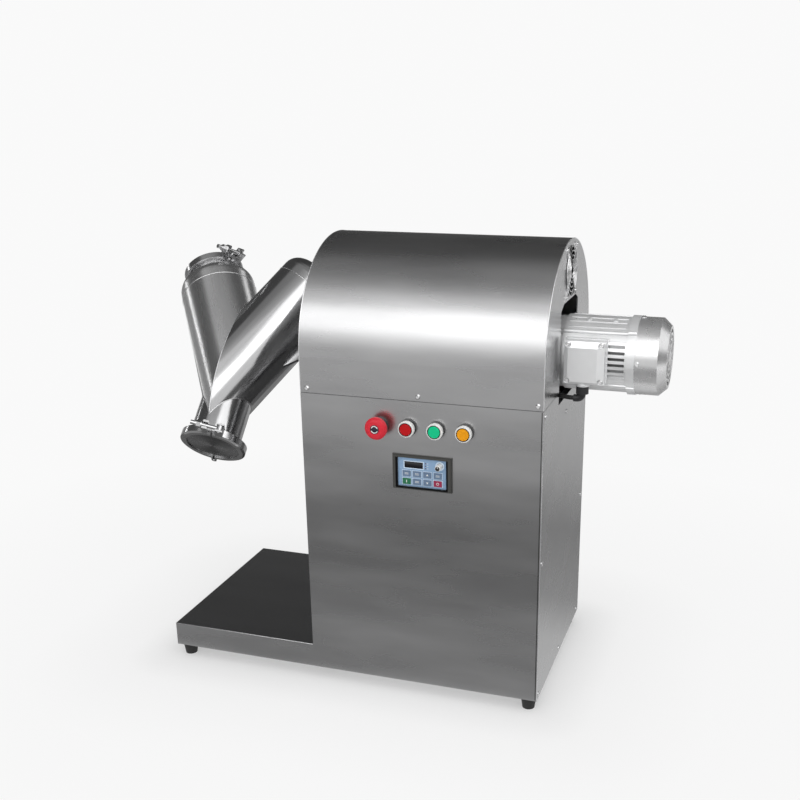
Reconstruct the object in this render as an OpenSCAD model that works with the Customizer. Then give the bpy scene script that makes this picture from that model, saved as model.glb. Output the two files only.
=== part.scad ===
// Tabletop V blender: a tilting twin-arm steel vessel on an overhung shaft,
// turned by a geared motor inside a round-topped cabinet.
// Millimetres, Z up. The origin is the middle of the machine's outline, on the floor.

/* [Cabinet] */
// Width of the cabinet and its hood, along the drive shaft
cabinet_w = 444; // [420:1:480]
// Length of the base, from the motor end to the vessel end
base_l = 746; // [710:1:800]
// Depth of base, cabinet and hood
depth = 392; // [376:1:420]
// Height of the base skirt
skirt_h = 47; // [40:1:56]
// Height of the joint under the hood, above the bottom of the skirt
seam_h = 554; // [540:1:600]
// Straight part of the hood's walls, above that joint
hood_wall = 64; // [60:1:76]
// Thickness of the sheet metal
sheet = 2; // [1.5:0.5:2.5]
// Dark joint left between neighbouring sheets
joint_gap = 1; // [0.6:0.2:1.4]
// Side of the square tube in the frame
tube = 25; // [20:1:30]
// Wall of that tube
tube_wall = 2; // [1.5:0.5:3]

/* [Feet] */
// Height of a rubber foot
foot_h = 24; // [18:1:32]
// Radius of a foot at the top
foot_r = 15; // [12:0.5:18]
// Radius of a foot at the floor
foot_tip_r = 11.5; // [9:0.5:14]
// Distance of a foot's centre from the edges of the base
foot_inset = 19; // [18:0.5:22]

/* [Shaft line] */
// Height of the shaft above the hood's joint
axis_up = 59.5; // [56:0.5:66]
// Radius of the vessel shaft
shaft_r = 12.5; // [10:0.5:15]
// Height of the shaft above the bearing plate
bearing_h = 36.5; // [33:0.5:40]
// Thickness of the bearing plate
deck_t = 6; // [4:0.5:10]
// Length of the plate that carries the gear unit behind the motor opening
gear_len = 114; // [104:1:124]
// Radial room in every running fit
run_fit = 0.05; // [0.03:0.01:0.08]

/* [Motor] */
// Radius of the ribbed motor body
motor_r = 67; // [62:0.5:69]
// Length of the motor body
motor_len = 113.5; // [108:0.5:120]
// Length of the fan cowl behind the body
cowl_len = 54; // [48:0.5:60]
// Radius of the cowl
cowl_r = 69; // [66:0.5:71]
// Number of cooling ribs on each side of the motor
rib_count = 9; // [5:1:11]
// Half width of the motor opening in the hood
opening_half = 75; // [73:0.5:80]
// Wall left between the motor opening and the fan above it
opening_gap = 3.5; // [2:0.5:8]

/* [Vessel] */
// Radius of the two arms
arm_r = 74.5; // [70:0.5:78]
// Angle of each arm away from the middle of the V
vee = 28.5; // [26:0.5:31]
// Wall of the vessel
wall = 2; // [1.5:0.5:3]
// Distance from the shaft down to the point where the arms meet
apex_drop = 94.7; // [90:0.1:100]
// Straight length of the left arm, which has the lid
left_len = 206; // [200:1:212]
// Straight length of the right arm, which is closed
right_len = 226; // [218:1:232]
// Radius of the rounded shoulder at the end of each arm
shoulder_r = 29; // [26:0.5:32]
// Distance of the arm's lid joint from the point where the arms meet
arm_joint = 252; // [248:1:258]
// Radius of the spout
spout_r = 48; // [46:0.5:50]
// Distance of the spout's lid joint from the point where the arms meet
spout_joint = 157; // [150:1:164]
// Lean of the parked vessel towards the operator
tilt = 44.2; // [0:0.1:90]
// Distance of the vessel's middle from the hood
vessel_out = 195; // [193:1:210]

/* [Clamps] */
// Height of the flange beyond its tube
flange_rise = 9; // [8:0.5:11]
// Height of the clamp ring beyond its tube
clamp_rise = 14.5; // [13.5:0.5:16]
// Width of the clamp ring
clamp_w = 17; // [16:0.5:20]
// Radius of the clamp's swing bolt
bolt_r = 4; // [3:0.25:4.25]
// Distance of the swing bolt from the ring
bolt_out = 14; // [13:0.5:16]

/* [Controls] */
// Height of the row of push buttons above the bottom of the skirt
button_z = 505; // [495:1:512]
// Spacing of the buttons
button_pitch = 52; // [48:0.5:56]
// Distance of the last button from the motor end
button_x = 137; // [110:1:150]
// Radius of a button's bezel
bezel_r = 14.8; // [14:0.1:16]
// Radius of a button's cap
cap_r = 10.75; // [10:0.05:11.5]
// Travel of a button
button_travel = 4; // [2:0.5:5]
// Radius of the emergency stop's head
stop_r = 20; // [17:0.5:22]
// Travel of the emergency stop
stop_travel = 4; // [3:0.5:5]
// Width of the keypad's frame
keypad_w = 110; // [104:1:116]
// Height of the keypad's frame
keypad_h = 65; // [62:1:70]
// Middle of the keypad, from the motor end
keypad_x = 215; // [200:1:230]
// Distance of the keypad's middle below the row of buttons
keypad_drop = 81; // [76:1:92]
// Travel of a key
key_travel = 0.5; // [0.3:0.1:0.8]

/* [Hidden] */
$fn = 64;
// Levels
z_skirt = foot_h;
z_base = foot_h + skirt_h;
z_seam = foot_h + seam_h;
z_spring = z_seam + hood_wall;
z_axis = z_seam + axis_up;
// Faces of the cabinet
x_cab = -cabinet_w;
x_end = -base_l;
y_front = -depth / 2;
y_back = depth / 2;
y_in = depth / 2 - sheet;
hood_r = depth / 2;
// Bearing plate and the rails under it
z_deck = z_axis - bearing_h;
z_rail = z_deck - deck_t;
z_low_rail = z_seam - 55;
x_plate = -gear_len - 21;
plate_t = 8;
plate_half = 75;
deck_x = x_plate + plate_t;
bearing_x = [x_cab + 40, x_cab + 160];
bearing_w = 34;
bearing_pad = 38;
bearing_span = 140;
bearing_pad_t = 13;
bearing_rim = 14;
ring_r = shaft_r + 7.5;
couple_x = x_plate - 50;
couple_r = shaft_r + 15;
couple_len = 72;
deck_bolt_y = 52;
gear_bolt = 46;
gear_angles = [30, 150, 210, 330];
// Motor, from the opening outwards
shield_t = 13;
end_ring_t = 14;
x_cowl = motor_len + end_ring_t;
x_motor_end = x_cowl + cowl_len;
motor_shaft_r = 7;
fan_x = x_cowl + 12;
box_x0 = 10;
box_x1 = 80;
z_box = z_axis - 37;
box_h = 76;
box_face = 94;
lid_t = 8;
gland_x = 42;
gland_y = (lid_t - box_face - motor_r - 2) / 2;
gland_r = 11;
gland_len = 19;
thread_r = 7;
// Motor lead, and the elbow in which it leaves its gland
cable_r = 4;
cable_bend = 32;
elbow_r = 6.5;
elbow_bend = 9;
elbow_end = gland_x - elbow_bend - 6;
cable_z = z_box - gland_len - elbow_bend;
cable_y = -22;
// Lowest edge of the notch under the motor
notch_h = 23;
// Cooling fan
fan_size = 92;
fan_z = z_spring + hood_r - sheet - 54.5;
fan_bore = 44;
fan_pitch = 82.5;
fan_t = 25;
opening_top = fan_z - fan_size / 2 - opening_gap - z_axis;
// Screws
screw_r = 2;
head_r = 4.4;
head_h = 2.2;
hood_screw_z = z_seam + 8;
hood_screw_x = [-10, -cabinet_w / 2, -cabinet_w + 13];
side_y = depth / 2 - 15;
side_screws = [
    [-side_y, z_seam - 14], [-side_y, z_skirt + 270], [-side_y, z_skirt + 8],
    [side_y, z_seam - 14], [side_y, z_skirt + 270], [side_y, z_skirt + 8],
    [0, z_low_rail], [0, z_skirt + 8]
];
back_screws = [
    [-15, z_seam - 14], [-15, z_skirt + 270], [x_cab + 15, z_seam - 14],
    [x_cab + 15, z_skirt + 270], [-15, z_skirt + 12], [x_cab + 15, z_skirt + 12],
    [x_end + 15, z_skirt + 12]
];
// Vessel
vessel_x = x_cab - vessel_out;
flange_t = 6.4;
seal_t = 2;
hub_r = shaft_r + 8;
hub_x = apex_drop * tan(vee) + arm_r / cos(vee);
hub_end = vessel_out - 9;
neck_r = arm_r - shoulder_r;
dome_h = 8;
couple_mid = couple_x - vessel_x;
arm_turn = 34;
gusset_t = 6;
gusset_reach = 77;
spout_turn = 68;
// Buttons, counted from the right: orange, green, red, emergency stop
function at_button(i) = -button_x - i * button_pitch;
hole_r = 11;
bezel_out = 14;
cap_t = 6;
push_r = 5;
stop_x = at_button(3);
stop_out = 28;
collar_out = 8;
stop_back = collar_out + stop_travel + 1;
stop_pin_r = 5;
stop_neck_r = 8;
block_y = y_front + sheet + 14;
// Keypad and the drive behind it
keypad_z = button_z - keypad_drop;
drive_deep = 118;
fin_deep = 22;
face_w = keypad_w - 20;
face_h = keypad_h - 11;
fin_h = face_h - 18;
frame_out = 5;
face_out = 2;
key_w = 15;
key_h = 11;
key_out = 1.2;
key_deep = sheet + 1;
key_step = 19.3;
key_rows = [keypad_z + foot_h - 3, keypad_z + foot_h - 17.5];
key_x0 = -keypad_x - 29;
knob_x = -keypad_x + 33;
knob_z = keypad_z + foot_h + 16;
knob_r = 5.2;
// Middle of the outline, which becomes the origin
left_reach = arm_joint * sin(vee) + (neck_r + clamp_rise) * cos(vee) + clamp_w / 2 * sin(vee);
front_reach = (apex_drop + spout_joint) * sin(tilt) + (spout_r + clamp_rise + bolt_out) * cos(tilt);
origin_x = (x_motor_end + vessel_x - left_reach) / 2;
origin_y = (depth / 2 + head_h - max(front_reach, depth / 2 + stop_out)) / 2;

// Shared shapes
module block(x0, x1, y0, y1, z0, z1)
    translate([x0, y0, z0])
        cube([x1 - x0, y1 - y0, z1 - z0]);

module rod_x(x0, x1, y, z, r)
    translate([x0, y, z])
        rotate([0, 90, 0])
            cylinder(r = r, h = x1 - x0);

module rod_y(x, y0, y1, z, r)
    translate([x, y0, z])
        rotate([-90, 0, 0])
            cylinder(r = r, h = y1 - y0);

module rod_z(x, y, z0, z1, r)
    translate([x, y, z0])
        cylinder(r = r, h = z1 - z0);

module pipe_x(x0, x1, y, z, r, bore)
    difference() {
        rod_x(x0, x1, y, z, r);
        rod_x(x0 - 1, x1 + 1, y, z, bore);
    }

module tube_x(x0, x1, y, z, h)
    difference() {
        block(x0, x1, y, y + tube, z, z + h);
        block(x0 - 1, x1 + 1, y + tube_wall, y + tube - tube_wall, z + tube_wall, z + h - tube_wall);
    }

module tube_y(x, y0, y1, z, h)
    difference() {
        block(x, x + tube, y0, y1, z, z + h);
        block(x + tube_wall, x + tube - tube_wall, y0 - 1, y1 + 1, z + tube_wall, z + h - tube_wall);
    }

module tube_z(x, y, z0, z1)
    difference() {
        block(x, x + tube, y, y + tube, z0, z1);
        block(x + tube_wall, x + tube - tube_wall, y + tube_wall, y + tube - tube_wall, z0 - 1, z1 + 1);
    }

// Places every sub-part around the chosen origin
module placed()
    translate([-origin_x, -origin_y, 0])
        children();

// Frame that carries everything
module frame() {
    rail_h = skirt_h - sheet;
    y0 = y_front + sheet;
    y1 = y_in - tube;
    x_left = x_cab + sheet;
    x_right = -sheet - tube;
    color("dimgray")
        difference() {
            union() {
                tube_x(x_end + sheet, -sheet, y0, z_skirt, rail_h);
                tube_x(x_end + sheet, -sheet, y1, z_skirt, rail_h);
                tube_y(x_end + sheet, y0 + tube, y1, z_skirt, rail_h);
                tube_y(x_left, y0 + tube, y1, z_skirt, rail_h);
                tube_y(x_right, y0 + tube, y1, z_skirt, rail_h);
                for (x = [x_left, x_right])
                    for (y = [y0, y1])
                        tube_z(x, y, z_skirt + rail_h, z_rail - tube);
                tube_x(x_left, -sheet, y0, z_rail - tube, tube);
                tube_x(x_left, -sheet, y1, z_rail - tube, tube);
                tube_y(x_left, y0 + tube, y1, z_rail - tube, tube);
                tube_y(x_right, y0 + tube, y1, z_low_rail - tube / 2, tube);
            }
            screw_shanks(screw_r);
        }
}

// One folded sheet: end skirt, base under the vessel, cabinet wall beside it
module base_sheet()
    color("gray")
        union() {
            block(x_end, x_end + sheet, -y_in, y_in, z_skirt, z_base);
            block(x_end, x_cab + sheet, -y_in, y_in, z_base - sheet, z_base);
            block(x_cab, x_cab + sheet, -y_in, y_in, z_base - sheet, z_seam - joint_gap);
        }

// Plates that close the underside, slotted for the fan's air under the cabinet
module floor_plates() {
    half = y_in - tube;
    x_mid = x_cab + sheet;
    color("gray") {
        block(x_end + sheet + tube, x_mid, -half, half, z_skirt, z_skirt + sheet);
        difference() {
            block(x_mid + tube, -sheet - tube, -half, half, z_skirt, z_skirt + sheet);
            for (i = [-3 : 3])
                translate([-cabinet_w / 2 - 60, i * 22 - 4, z_skirt - 1])
                    cube([120, 8, sheet + 2]);
        }
    }
}

// One sheet that covers the cabinet and the skirt
module skin(y0)
    union() {
        block(x_end, 0, y0, y0 + sheet, z_skirt, z_base);
        block(x_cab, 0, y0, y0 + sheet, z_base, z_seam - joint_gap);
    }

module front_panel()
    color("silver")
        difference() {
            skin(y_front);
            for (i = [0 : 2])
                rod_y(at_button(i), y_front - 1, y_front + sheet + 1, z_skirt + button_z, hole_r);
            rod_y(stop_x, y_front - 1, y_front + sheet + 1, z_skirt + button_z, hole_r);
            block(-keypad_x - face_w / 2, -keypad_x + face_w / 2, y_front - 1, y_front + sheet + 1,
                keypad_z + foot_h - face_h / 2, keypad_z + foot_h + face_h / 2);
        }

module back_panel()
    color("silver")
        difference() {
            skin(y_in);
            screw_shanks(screw_r);
            rod_y(-60, y_in - 1, y_back + 1, z_skirt + 90, gland_r - 3);
        }

module right_panel()
    color("silver")
        difference() {
            block(-sheet, 0, -y_in + joint_gap, y_in - joint_gap, z_skirt, z_seam - joint_gap);
            block(-sheet - 1, 1, -opening_half, opening_half, z_seam - notch_h, z_seam);
            screw_shanks(screw_r);
        }

// Plate that carries the bearings, with the welded plate that carries the gear unit
module deck()
    color("slategray")
        difference() {
            union() {
                block(x_cab + sheet, deck_x, -y_in, y_in, z_rail, z_deck);
                block(x_plate, deck_x, -plate_half, plate_half, z_deck, z_axis + plate_half - 5);
                for (s = [-1, 1])
                    translate([x_plate, s * (plate_half - 4) + 4, z_deck])
                        rotate([90, 0, 0])
                            linear_extrude(8)
                                polygon([[0, 0], [0, 80], [-50, 0]]);
            }
            rod_x(x_plate - 1, deck_x + 1, 0, z_axis, shaft_r + 20);
            for (x = bearing_x)
                for (s = [-1, 1])
                    rod_z(x, s * deck_bolt_y, z_rail - 1, z_deck + 1, 5);
            for (a = gear_angles)
                rod_x(x_plate - 1, deck_x + 1, gear_bolt * cos(a), z_axis + gear_bolt * sin(a), 4);
        }

// Round-topped profile of the hood from level z0 up, thinned by t
module hood_form(x0, x1, z0, t)
    union() {
        block(x0, x1, -hood_r + t, hood_r - t, z0, z_spring);
        difference() {
            rod_x(x0, x1, 0, z_spring, hood_r - t);
            block(x0 - 1, x1 + 1, -hood_r - 1, hood_r + 1, z_spring - hood_r - 1, z_spring);
        }
    }

// Wrapped sheet with the end wall on the vessel side
module hood()
    color("silver")
        difference() {
            hood_form(x_cab, 0, z_seam, 0);
            hood_form(x_cab + sheet, 1, z_seam - 1, sheet);
            rod_x(x_cab - 1, x_cab + sheet + 1, 0, z_axis, hub_r + 6);
            screw_shanks(screw_r);
        }

// End wall on the motor side
module hood_end()
    color("silver")
        difference() {
            hood_form(-sheet, 0, z_seam, sheet);
            translate([-sheet - 1, 0, 0])
                rotate([90, 0, 90])
                    linear_extrude(sheet + 2)
                        polygon([
                            [-opening_half, z_seam - 1], [opening_half, z_seam - 1],
                            [opening_half, z_axis + opening_top - 10],
                            [opening_half - 23, z_axis + opening_top],
                            [-opening_half + 23, z_axis + opening_top],
                            [-opening_half, z_axis + opening_top - 10]
                        ]);
            rod_x(-sheet - 1, 1, 0, fan_z, fan_bore);
            fan_holes();
        }

module feet()
    color("black")
        for (x = [x_end + foot_inset, -foot_inset])
            for (y = [y_front + foot_inset, y_back - foot_inset])
                translate([x, y, 0])
                    cylinder(r1 = foot_tip_r, r2 = foot_r, h = foot_h);

// Pan head screw along +Z, with its seat at zero
module pan_screw(reach)
    difference() {
        union() {
            cylinder(r = head_r, h = head_h / 2);
            translate([0, 0, head_h / 2])
                cylinder(r1 = head_r, r2 = head_r - 1.4, h = head_h / 2);
            translate([0, 0, -reach])
                cylinder(r = screw_r, h = reach);
        }
        for (a = [0, 90])
            rotate([0, 0, a])
                translate([-2.2, -0.5, head_h - 1])
                    cube([4.4, 1, 2]);
    }

module screw_places() {
    for (x = hood_screw_x) {
        translate([x, y_front, hood_screw_z])
            rotate([90, 0, 0])
                children();
        translate([x, y_back, hood_screw_z])
            rotate([-90, 0, 0])
                children();
    }
    for (p = side_screws)
        translate([0, p[0], p[1]])
            rotate([0, 90, 0])
                children();
    for (p = back_screws)
        translate([p[0], y_back, p[1]])
            rotate([-90, 0, 0])
                children();
}

module screw_shanks(r)
    screw_places()
        translate([0, 0, -11])
            cylinder(r = r, h = 12, $fn = 24);

module panel_screws()
    color("gainsboro")
        screw_places()
            pan_screw(10, $fn = 24);

// Two-bolt bearing blocks
module bearing_housings()
    color("darkslategray")
        for (x = bearing_x)
            difference() {
                union() {
                    block(x - bearing_pad / 2, x + bearing_pad / 2, -bearing_span / 2, bearing_span / 2,
                        z_deck, z_deck + bearing_pad_t);
                    rod_x(x - bearing_w / 2, x + bearing_w / 2, 0, z_axis, ring_r + bearing_rim);
                    block(x - bearing_w / 2, x + bearing_w / 2, -ring_r - bearing_rim, ring_r + bearing_rim,
                        z_deck + bearing_pad_t, z_axis);
                }
                rod_x(x - bearing_w / 2 - 1, x + bearing_w / 2 + 1, 0, z_axis, ring_r + run_fit);
                block(x - bearing_pad, x + bearing_pad, -bearing_span, bearing_span,
                    z_rail - ring_r, z_deck);
                for (s = [-1, 1])
                    rod_z(x, s * deck_bolt_y, z_deck - 1, z_deck + bearing_pad_t + 1, 5);
            }

// Hexagon bolts for the bearings and for the gear unit
module deck_bolts()
    color("gainsboro") {
        for (x = bearing_x)
            for (s = [-1, 1]) {
                rod_z(x, s * deck_bolt_y, z_rail - 8, z_deck + 13, 5);
                translate([x, s * deck_bolt_y, z_deck + 13])
                    cylinder(r = 9, h = 6, $fn = 6);
            }
        for (a = gear_angles) {
            rod_x(x_plate - 4, deck_x + 10, gear_bolt * cos(a), z_axis + gear_bolt * sin(a), 4);
            translate([x_plate - 6, gear_bolt * cos(a), z_axis + gear_bolt * sin(a)])
                rotate([0, 90, 0])
                    cylinder(r = 7.5, h = 6, $fn = 6);
        }
    }

// Closed in-line gear unit
module gear_housing()
    color("steelblue")
        difference() {
            union() {
                rod_x(deck_x, deck_x + 12, 0, z_axis, 62);
                rod_x(deck_x - 10, deck_x, 0, z_axis, shaft_r + 18);
                rod_x(deck_x + 12, -shield_t - 12, 0, z_axis, 54);
                rod_x(-shield_t - 12, -shield_t, 0, z_axis, motor_r - 3);
                for (a = [0 : 45 : 315])
                    translate([0, 0, z_axis])
                        rotate([a, 0, 0])
                            block(deck_x + 12, -shield_t - 12, -2.5, 2.5, 50, 58);
            }
            rod_x(deck_x - 12, deck_x + 60, 0, z_axis, shaft_r + run_fit);
            for (a = gear_angles)
                rod_x(deck_x - 1, deck_x + 10, gear_bolt * cos(a), z_axis + gear_bolt * sin(a), 4);
        }

// End covers of the motor, front and rear
module motor_shields()
    color("lightgray") {
        union() {
            rod_x(-shield_t, 0, 0, z_axis, motor_r - 3);
            for (a = [45 : 90 : 315])
                rod_x(-shield_t, 0, (motor_r - 5) * cos(a), z_axis + (motor_r - 5) * sin(a), 6);
        }
        difference() {
            union() {
                rod_x(motor_len, x_cowl, 0, z_axis, cowl_r + 1.5);
                for (a = [45 : 90 : 315])
                    rod_x(motor_len, x_cowl, cowl_r * cos(a), z_axis + cowl_r * sin(a), 5);
            }
            rod_x(motor_len + 2, x_cowl + 1, 0, z_axis, motor_shaft_r + run_fit);
        }
    }

// Ribbed body: grooves along both sides, smooth above and below
module motor_body() {
    pitch = 1.42 * motor_r / rib_count;
    color("lightgray")
        difference() {
            union() {
                rod_x(0, motor_len, 0, z_axis, motor_r);
                for (a = [45 : 90 : 315])
                    rod_x(0, motor_len, (motor_r - 1) * cos(a), z_axis + (motor_r - 1) * sin(a), 4.5);
            }
            for (i = [0 : rib_count])
                for (s = [-1, 1])
                    translate([9, s * (motor_r - 2) - 8, z_axis + (i - rib_count / 2) * pitch - pitch / 4])
                        cube([motor_len - 12, 16, pitch / 2]);
        }
}

module fan_cowl()
    color("gainsboro")
        translate([x_cowl, 0, z_axis])
            rotate([0, 90, 0])
                difference() {
                    union() {
                        difference() {
                            rotate_extrude()
                                polygon([
                                    [0, cowl_len - 2], [0, cowl_len], [cowl_r - 13.5, cowl_len],
                                    [cowl_r, cowl_len - 14.5], [cowl_r, 0], [cowl_r - 2, 0],
                                    [cowl_r - 2, cowl_len - 15.3], [cowl_r - 14.3, cowl_len - 2]
                                ]);
                            for (r = [14 : 10 : 44])
                                translate([0, 0, cowl_len - 3])
                                    difference() {
                                        cylinder(r = r + 6, h = 4);
                                        translate([0, 0, -1])
                                            cylinder(r = r, h = 6);
                                    }
                        }
                        for (a = [0 : 45 : 135])
                            rotate([0, 0, a])
                                translate([-(cowl_r - 15), -2, cowl_len - 2])
                                    cube([2 * (cowl_r - 15), 4, 2]);
                    }
                    for (a = [0 : 90 : 270])
                        rotate([0, 0, a])
                            translate([cowl_r - 4, 0, 5])
                                rotate([0, 90, 0])
                                    cylinder(r = screw_r, h = 6, $fn = 24);
                }

// Terminal box on the operator's side of the motor
module terminal_box()
    color("lightgray")
        difference() {
            union() {
                block(box_x0 - 2, box_x1 + 2, -motor_r - 2, -motor_r + 8, z_box, z_box + box_h + 1);
                block(box_x0, box_x1, -box_face + lid_t, -motor_r - 2, z_box, z_box + box_h);
            }
            rod_x(-1, motor_len + 1, 0, z_axis, motor_r + 0.3);
            for (a = [45 : 90 : 315])
                rod_x(-1, motor_len + 1, (motor_r - 1) * cos(a), z_axis + (motor_r - 1) * sin(a), 5);
            block(box_x0 + 4, box_x1 - 4, -box_face + lid_t - 1, -motor_r - 4,
                z_box + 4, z_box + box_h - 4);
            rod_z(gland_x, gland_y, z_box - 2, z_box + 5, thread_r);
        }

module terminal_lid()
    color("gainsboro")
        difference() {
            hull() {
                block(box_x0, box_x1, -box_face + lid_t - 3, -box_face + lid_t, z_box, z_box + box_h);
                block(box_x0 + 7, box_x1 - 12, -box_face, -box_face + 1, z_box + 5, z_box + box_h - 11);
            }
            block(box_x0 + 11, box_x1 - 16, -box_face + 3, -box_face + lid_t + 1,
                z_box + 9, z_box + box_h - 15);
            lid_corners()
                cylinder(r = head_r + 1, h = 20, $fn = 32);
            lid_corners()
                translate([0, 0, -4])
                    cylinder(r = screw_r, h = 5, $fn = 24);
        }

// Seats of the terminal lid's screws
module lid_corners()
    for (x = [box_x0 + 6, box_x1 - 6])
        for (z = [z_box + 6, z_box + box_h - 6])
            translate([x, -box_face + lid_t - 2, z])
                rotate([90, 0, 0])
                    children();

module fan_holes()
    for (y = [-1, 1])
        for (z = [-1, 1])
            rod_x(-fan_t - sheet - 1, 1, y * fan_pitch / 2, fan_z + z * fan_pitch / 2, screw_r);

// Identical small screws of the fan, the cowl and the terminal box
module small_screws()
    color("gainsboro") {
        for (y = [-1, 1])
            for (z = [-1, 1])
                translate([1.6, y * fan_pitch / 2, fan_z + z * fan_pitch / 2])
                    rotate([0, 90, 0])
                        pan_screw(24, $fn = 24);
        for (a = [0 : 90 : 270])
            translate([x_cowl + 5, 0, z_axis])
                rotate([a, 0, 0])
                    translate([0, 0, cowl_r])
                        pan_screw(3, $fn = 24);
        lid_corners()
            pan_screw(3, $fn = 24);
    }

// Glands of the motor lead and of the mains inlet
module cable_glands()
    color("black") {
        difference() {
            union() {
                rod_z(gland_x, gland_y, z_box - gland_len, z_box, gland_r);
                rod_z(gland_x, gland_y, z_box - 1, z_box + 6, thread_r);
                translate([gland_x - elbow_bend, gland_y, z_box - gland_len])
                    rotate([-90, 0, 0])
                        bend(elbow_bend, elbow_r, 90);
                rod_x(elbow_end, gland_x - elbow_bend, gland_y, cable_z, elbow_r);
            }
            rod_x(elbow_end - 1, gland_x - elbow_bend - 0.5, gland_y, cable_z, cable_r + run_fit);
        }
        difference() {
            union() {
                rod_y(-60, y_in - 8, y_back, z_skirt + 90, gland_r - 3);
                rod_y(-60, y_back, y_back + 2, z_skirt + 90, gland_r);
            }
            rod_y(-60, y_in - 9, y_back + 3, z_skirt + 90, cable_r);
        }
    }

// Bend in the XY plane, from the +X axis towards the +Y axis
module bend(radius, r, turn)
    rotate_extrude(angle = turn)
        translate([radius, 0])
            circle(r = r, $fn = 32);

// Motor lead: out of its elbow, aslant into the hood's opening, then down to the drive
module motor_cable() {
    side = cable_bend * (1 - cos(45));
    along = cable_bend * sin(45);
    slant = cable_y - gland_y - 2 * side;
    x0 = gland_x - elbow_bend - 1;
    x1 = elbow_end - 2;
    x2 = x1 - along - slant;
    x3 = x2 - along;
    x4 = -keypad_x + cable_bend;
    y4 = cable_y - cable_bend;
    y5 = y_front + drive_deep - 12;
    z_drive = foot_h + keypad_z + face_h / 2 - 1;
    bend_r = cable_r - 0.1;
    lap = 0.6;
    color("black")
        union() {
            rod_x(x1 - lap, x0, gland_y, cable_z, cable_r, $fn = 32);
            translate([x1, gland_y + cable_bend, cable_z])
                rotate([0, 0, -135])
                    bend(cable_bend, bend_r, 45);
            translate([x1 - along, gland_y + side, cable_z])
                rotate([0, 0, 135])
                    rod_x(-lap, slant * sqrt(2) + lap, 0, 0, cable_r, $fn = 32);
            translate([x3, cable_y - cable_bend, cable_z])
                rotate([0, 0, 45])
                    bend(cable_bend, bend_r, 45);
            rod_x(x4 - lap, x3 + lap, cable_y, cable_z, cable_r, $fn = 32);
            translate([x4, y4, cable_z])
                rotate([0, 0, 90])
                    bend(cable_bend, bend_r, 90);
            rod_y(-keypad_x, y5 + cable_bend - lap, y4 + lap, cable_z, cable_r, $fn = 32);
            translate([-keypad_x, y5 + cable_bend, cable_z - cable_bend])
                rotate([0, -90, 180])
                    bend(cable_bend, bend_r, 90);
            rod_z(-keypad_x, y5, z_drive - 5, cable_z - cable_bend + lap, cable_r, $fn = 32);
        }
}

// Box fan inside the motor end of the hood
module fan_frame()
    color("dimgray")
        difference() {
            translate([-sheet - fan_t, -fan_size / 2, fan_z - fan_size / 2])
                cube([fan_t, fan_size, fan_size]);
            difference() {
                rod_x(-sheet - fan_t + 3, 1, 0, fan_z, fan_bore);
                rod_x(-sheet - fan_t, -sheet - fan_t + 5, 0, fan_z, 18);
            }
            difference() {
                rod_x(-sheet - fan_t - 1, -sheet - fan_t + 4, 0, fan_z, fan_bore);
                rod_x(-sheet - fan_t - 2, -sheet - fan_t + 5, 0, fan_z, 18);
                for (a = [45, 135])
                    translate([-sheet - fan_t, 0, fan_z])
                        rotate([a, 0, 0])
                            block(-2, 5, -fan_bore - 2, fan_bore + 2, -3, 3);
            }
            rod_x(-sheet - fan_t - 1, -sheet - fan_t + 12, 0, fan_z, 3 + run_fit);
            fan_holes();
            for (y = [-1, 1])
                for (z = [-1, 1])
                    translate([0, y * fan_size / 2, fan_z + z * fan_size / 2])
                        rotate([45, 0, 0])
                            block(-sheet - fan_t - 1, 1, -5, 5, -5, 5);
        }

// Bright wire guard over the fan
module fan_guard()
    color("white")
        union() {
            for (r = [12 : 8 : 44])
                translate([2.2, 0, fan_z])
                    rotate([0, 90, 0])
                        rotate_extrude()
                            translate([r, 0])
                                circle(r = 1, $fn = 16);
            for (s = [-1, 1])
                for (t = [-1, 1])
                    difference() {
                        translate([0, 0, fan_z])
                            rotate([-s * t * 45, 0, 0])
                                block(0, 1.6, -3.5, 3.5, min(10 * t, 63 * t), max(10 * t, 63 * t));
                        rod_x(-1, 3, s * fan_pitch / 2, fan_z + t * fan_pitch / 2, screw_r + 0.1);
                    }
        }

// White bezels of the three push buttons, with the threaded barrel behind the panel
module button_bezels()
    color("white")
        for (i = [0 : 2])
            translate([at_button(i), y_front, z_skirt + button_z])
                rotate([90, 0, 0])
                    difference() {
                        union() {
                            cylinder(r = bezel_r - 1.2, h = 3);
                            translate([0, 0, 3])
                                cylinder(r = bezel_r, h = bezel_out - 5);
                            translate([0, 0, bezel_out - 2])
                                cylinder(r1 = bezel_r, r2 = bezel_r - 1.5, h = 2);
                            translate([0, 0, -sheet - 14])
                                cylinder(r = hole_r, h = sheet + 14);
                            translate([0, 0, -sheet - 5])
                                cylinder(r = bezel_r, h = 5);
                        }
                        translate([0, 0, bezel_out - cap_t - button_travel - 1])
                            cylinder(r = cap_r + run_fit, h = 20);
                        translate([0, 0, -sheet - 15])
                            cylinder(r = push_r + run_fit, h = 40);
                    }

module stop_collar()
    color("dimgray")
        translate([stop_x, y_front, z_skirt + button_z])
            rotate([90, 0, 0])
                difference() {
                    union() {
                        cylinder(r = bezel_r, h = collar_out - 2);
                        translate([0, 0, collar_out - 2])
                            cylinder(r1 = bezel_r, r2 = bezel_r - 2, h = 2);
                        translate([0, 0, -sheet - 14])
                            cylinder(r = hole_r, h = sheet + 14);
                        translate([0, 0, -sheet - 5])
                            cylinder(r = bezel_r, h = 5);
                    }
                    translate([0, 0, -sheet - 15])
                        cylinder(r = stop_neck_r + run_fit, h = 40);
                }

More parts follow.
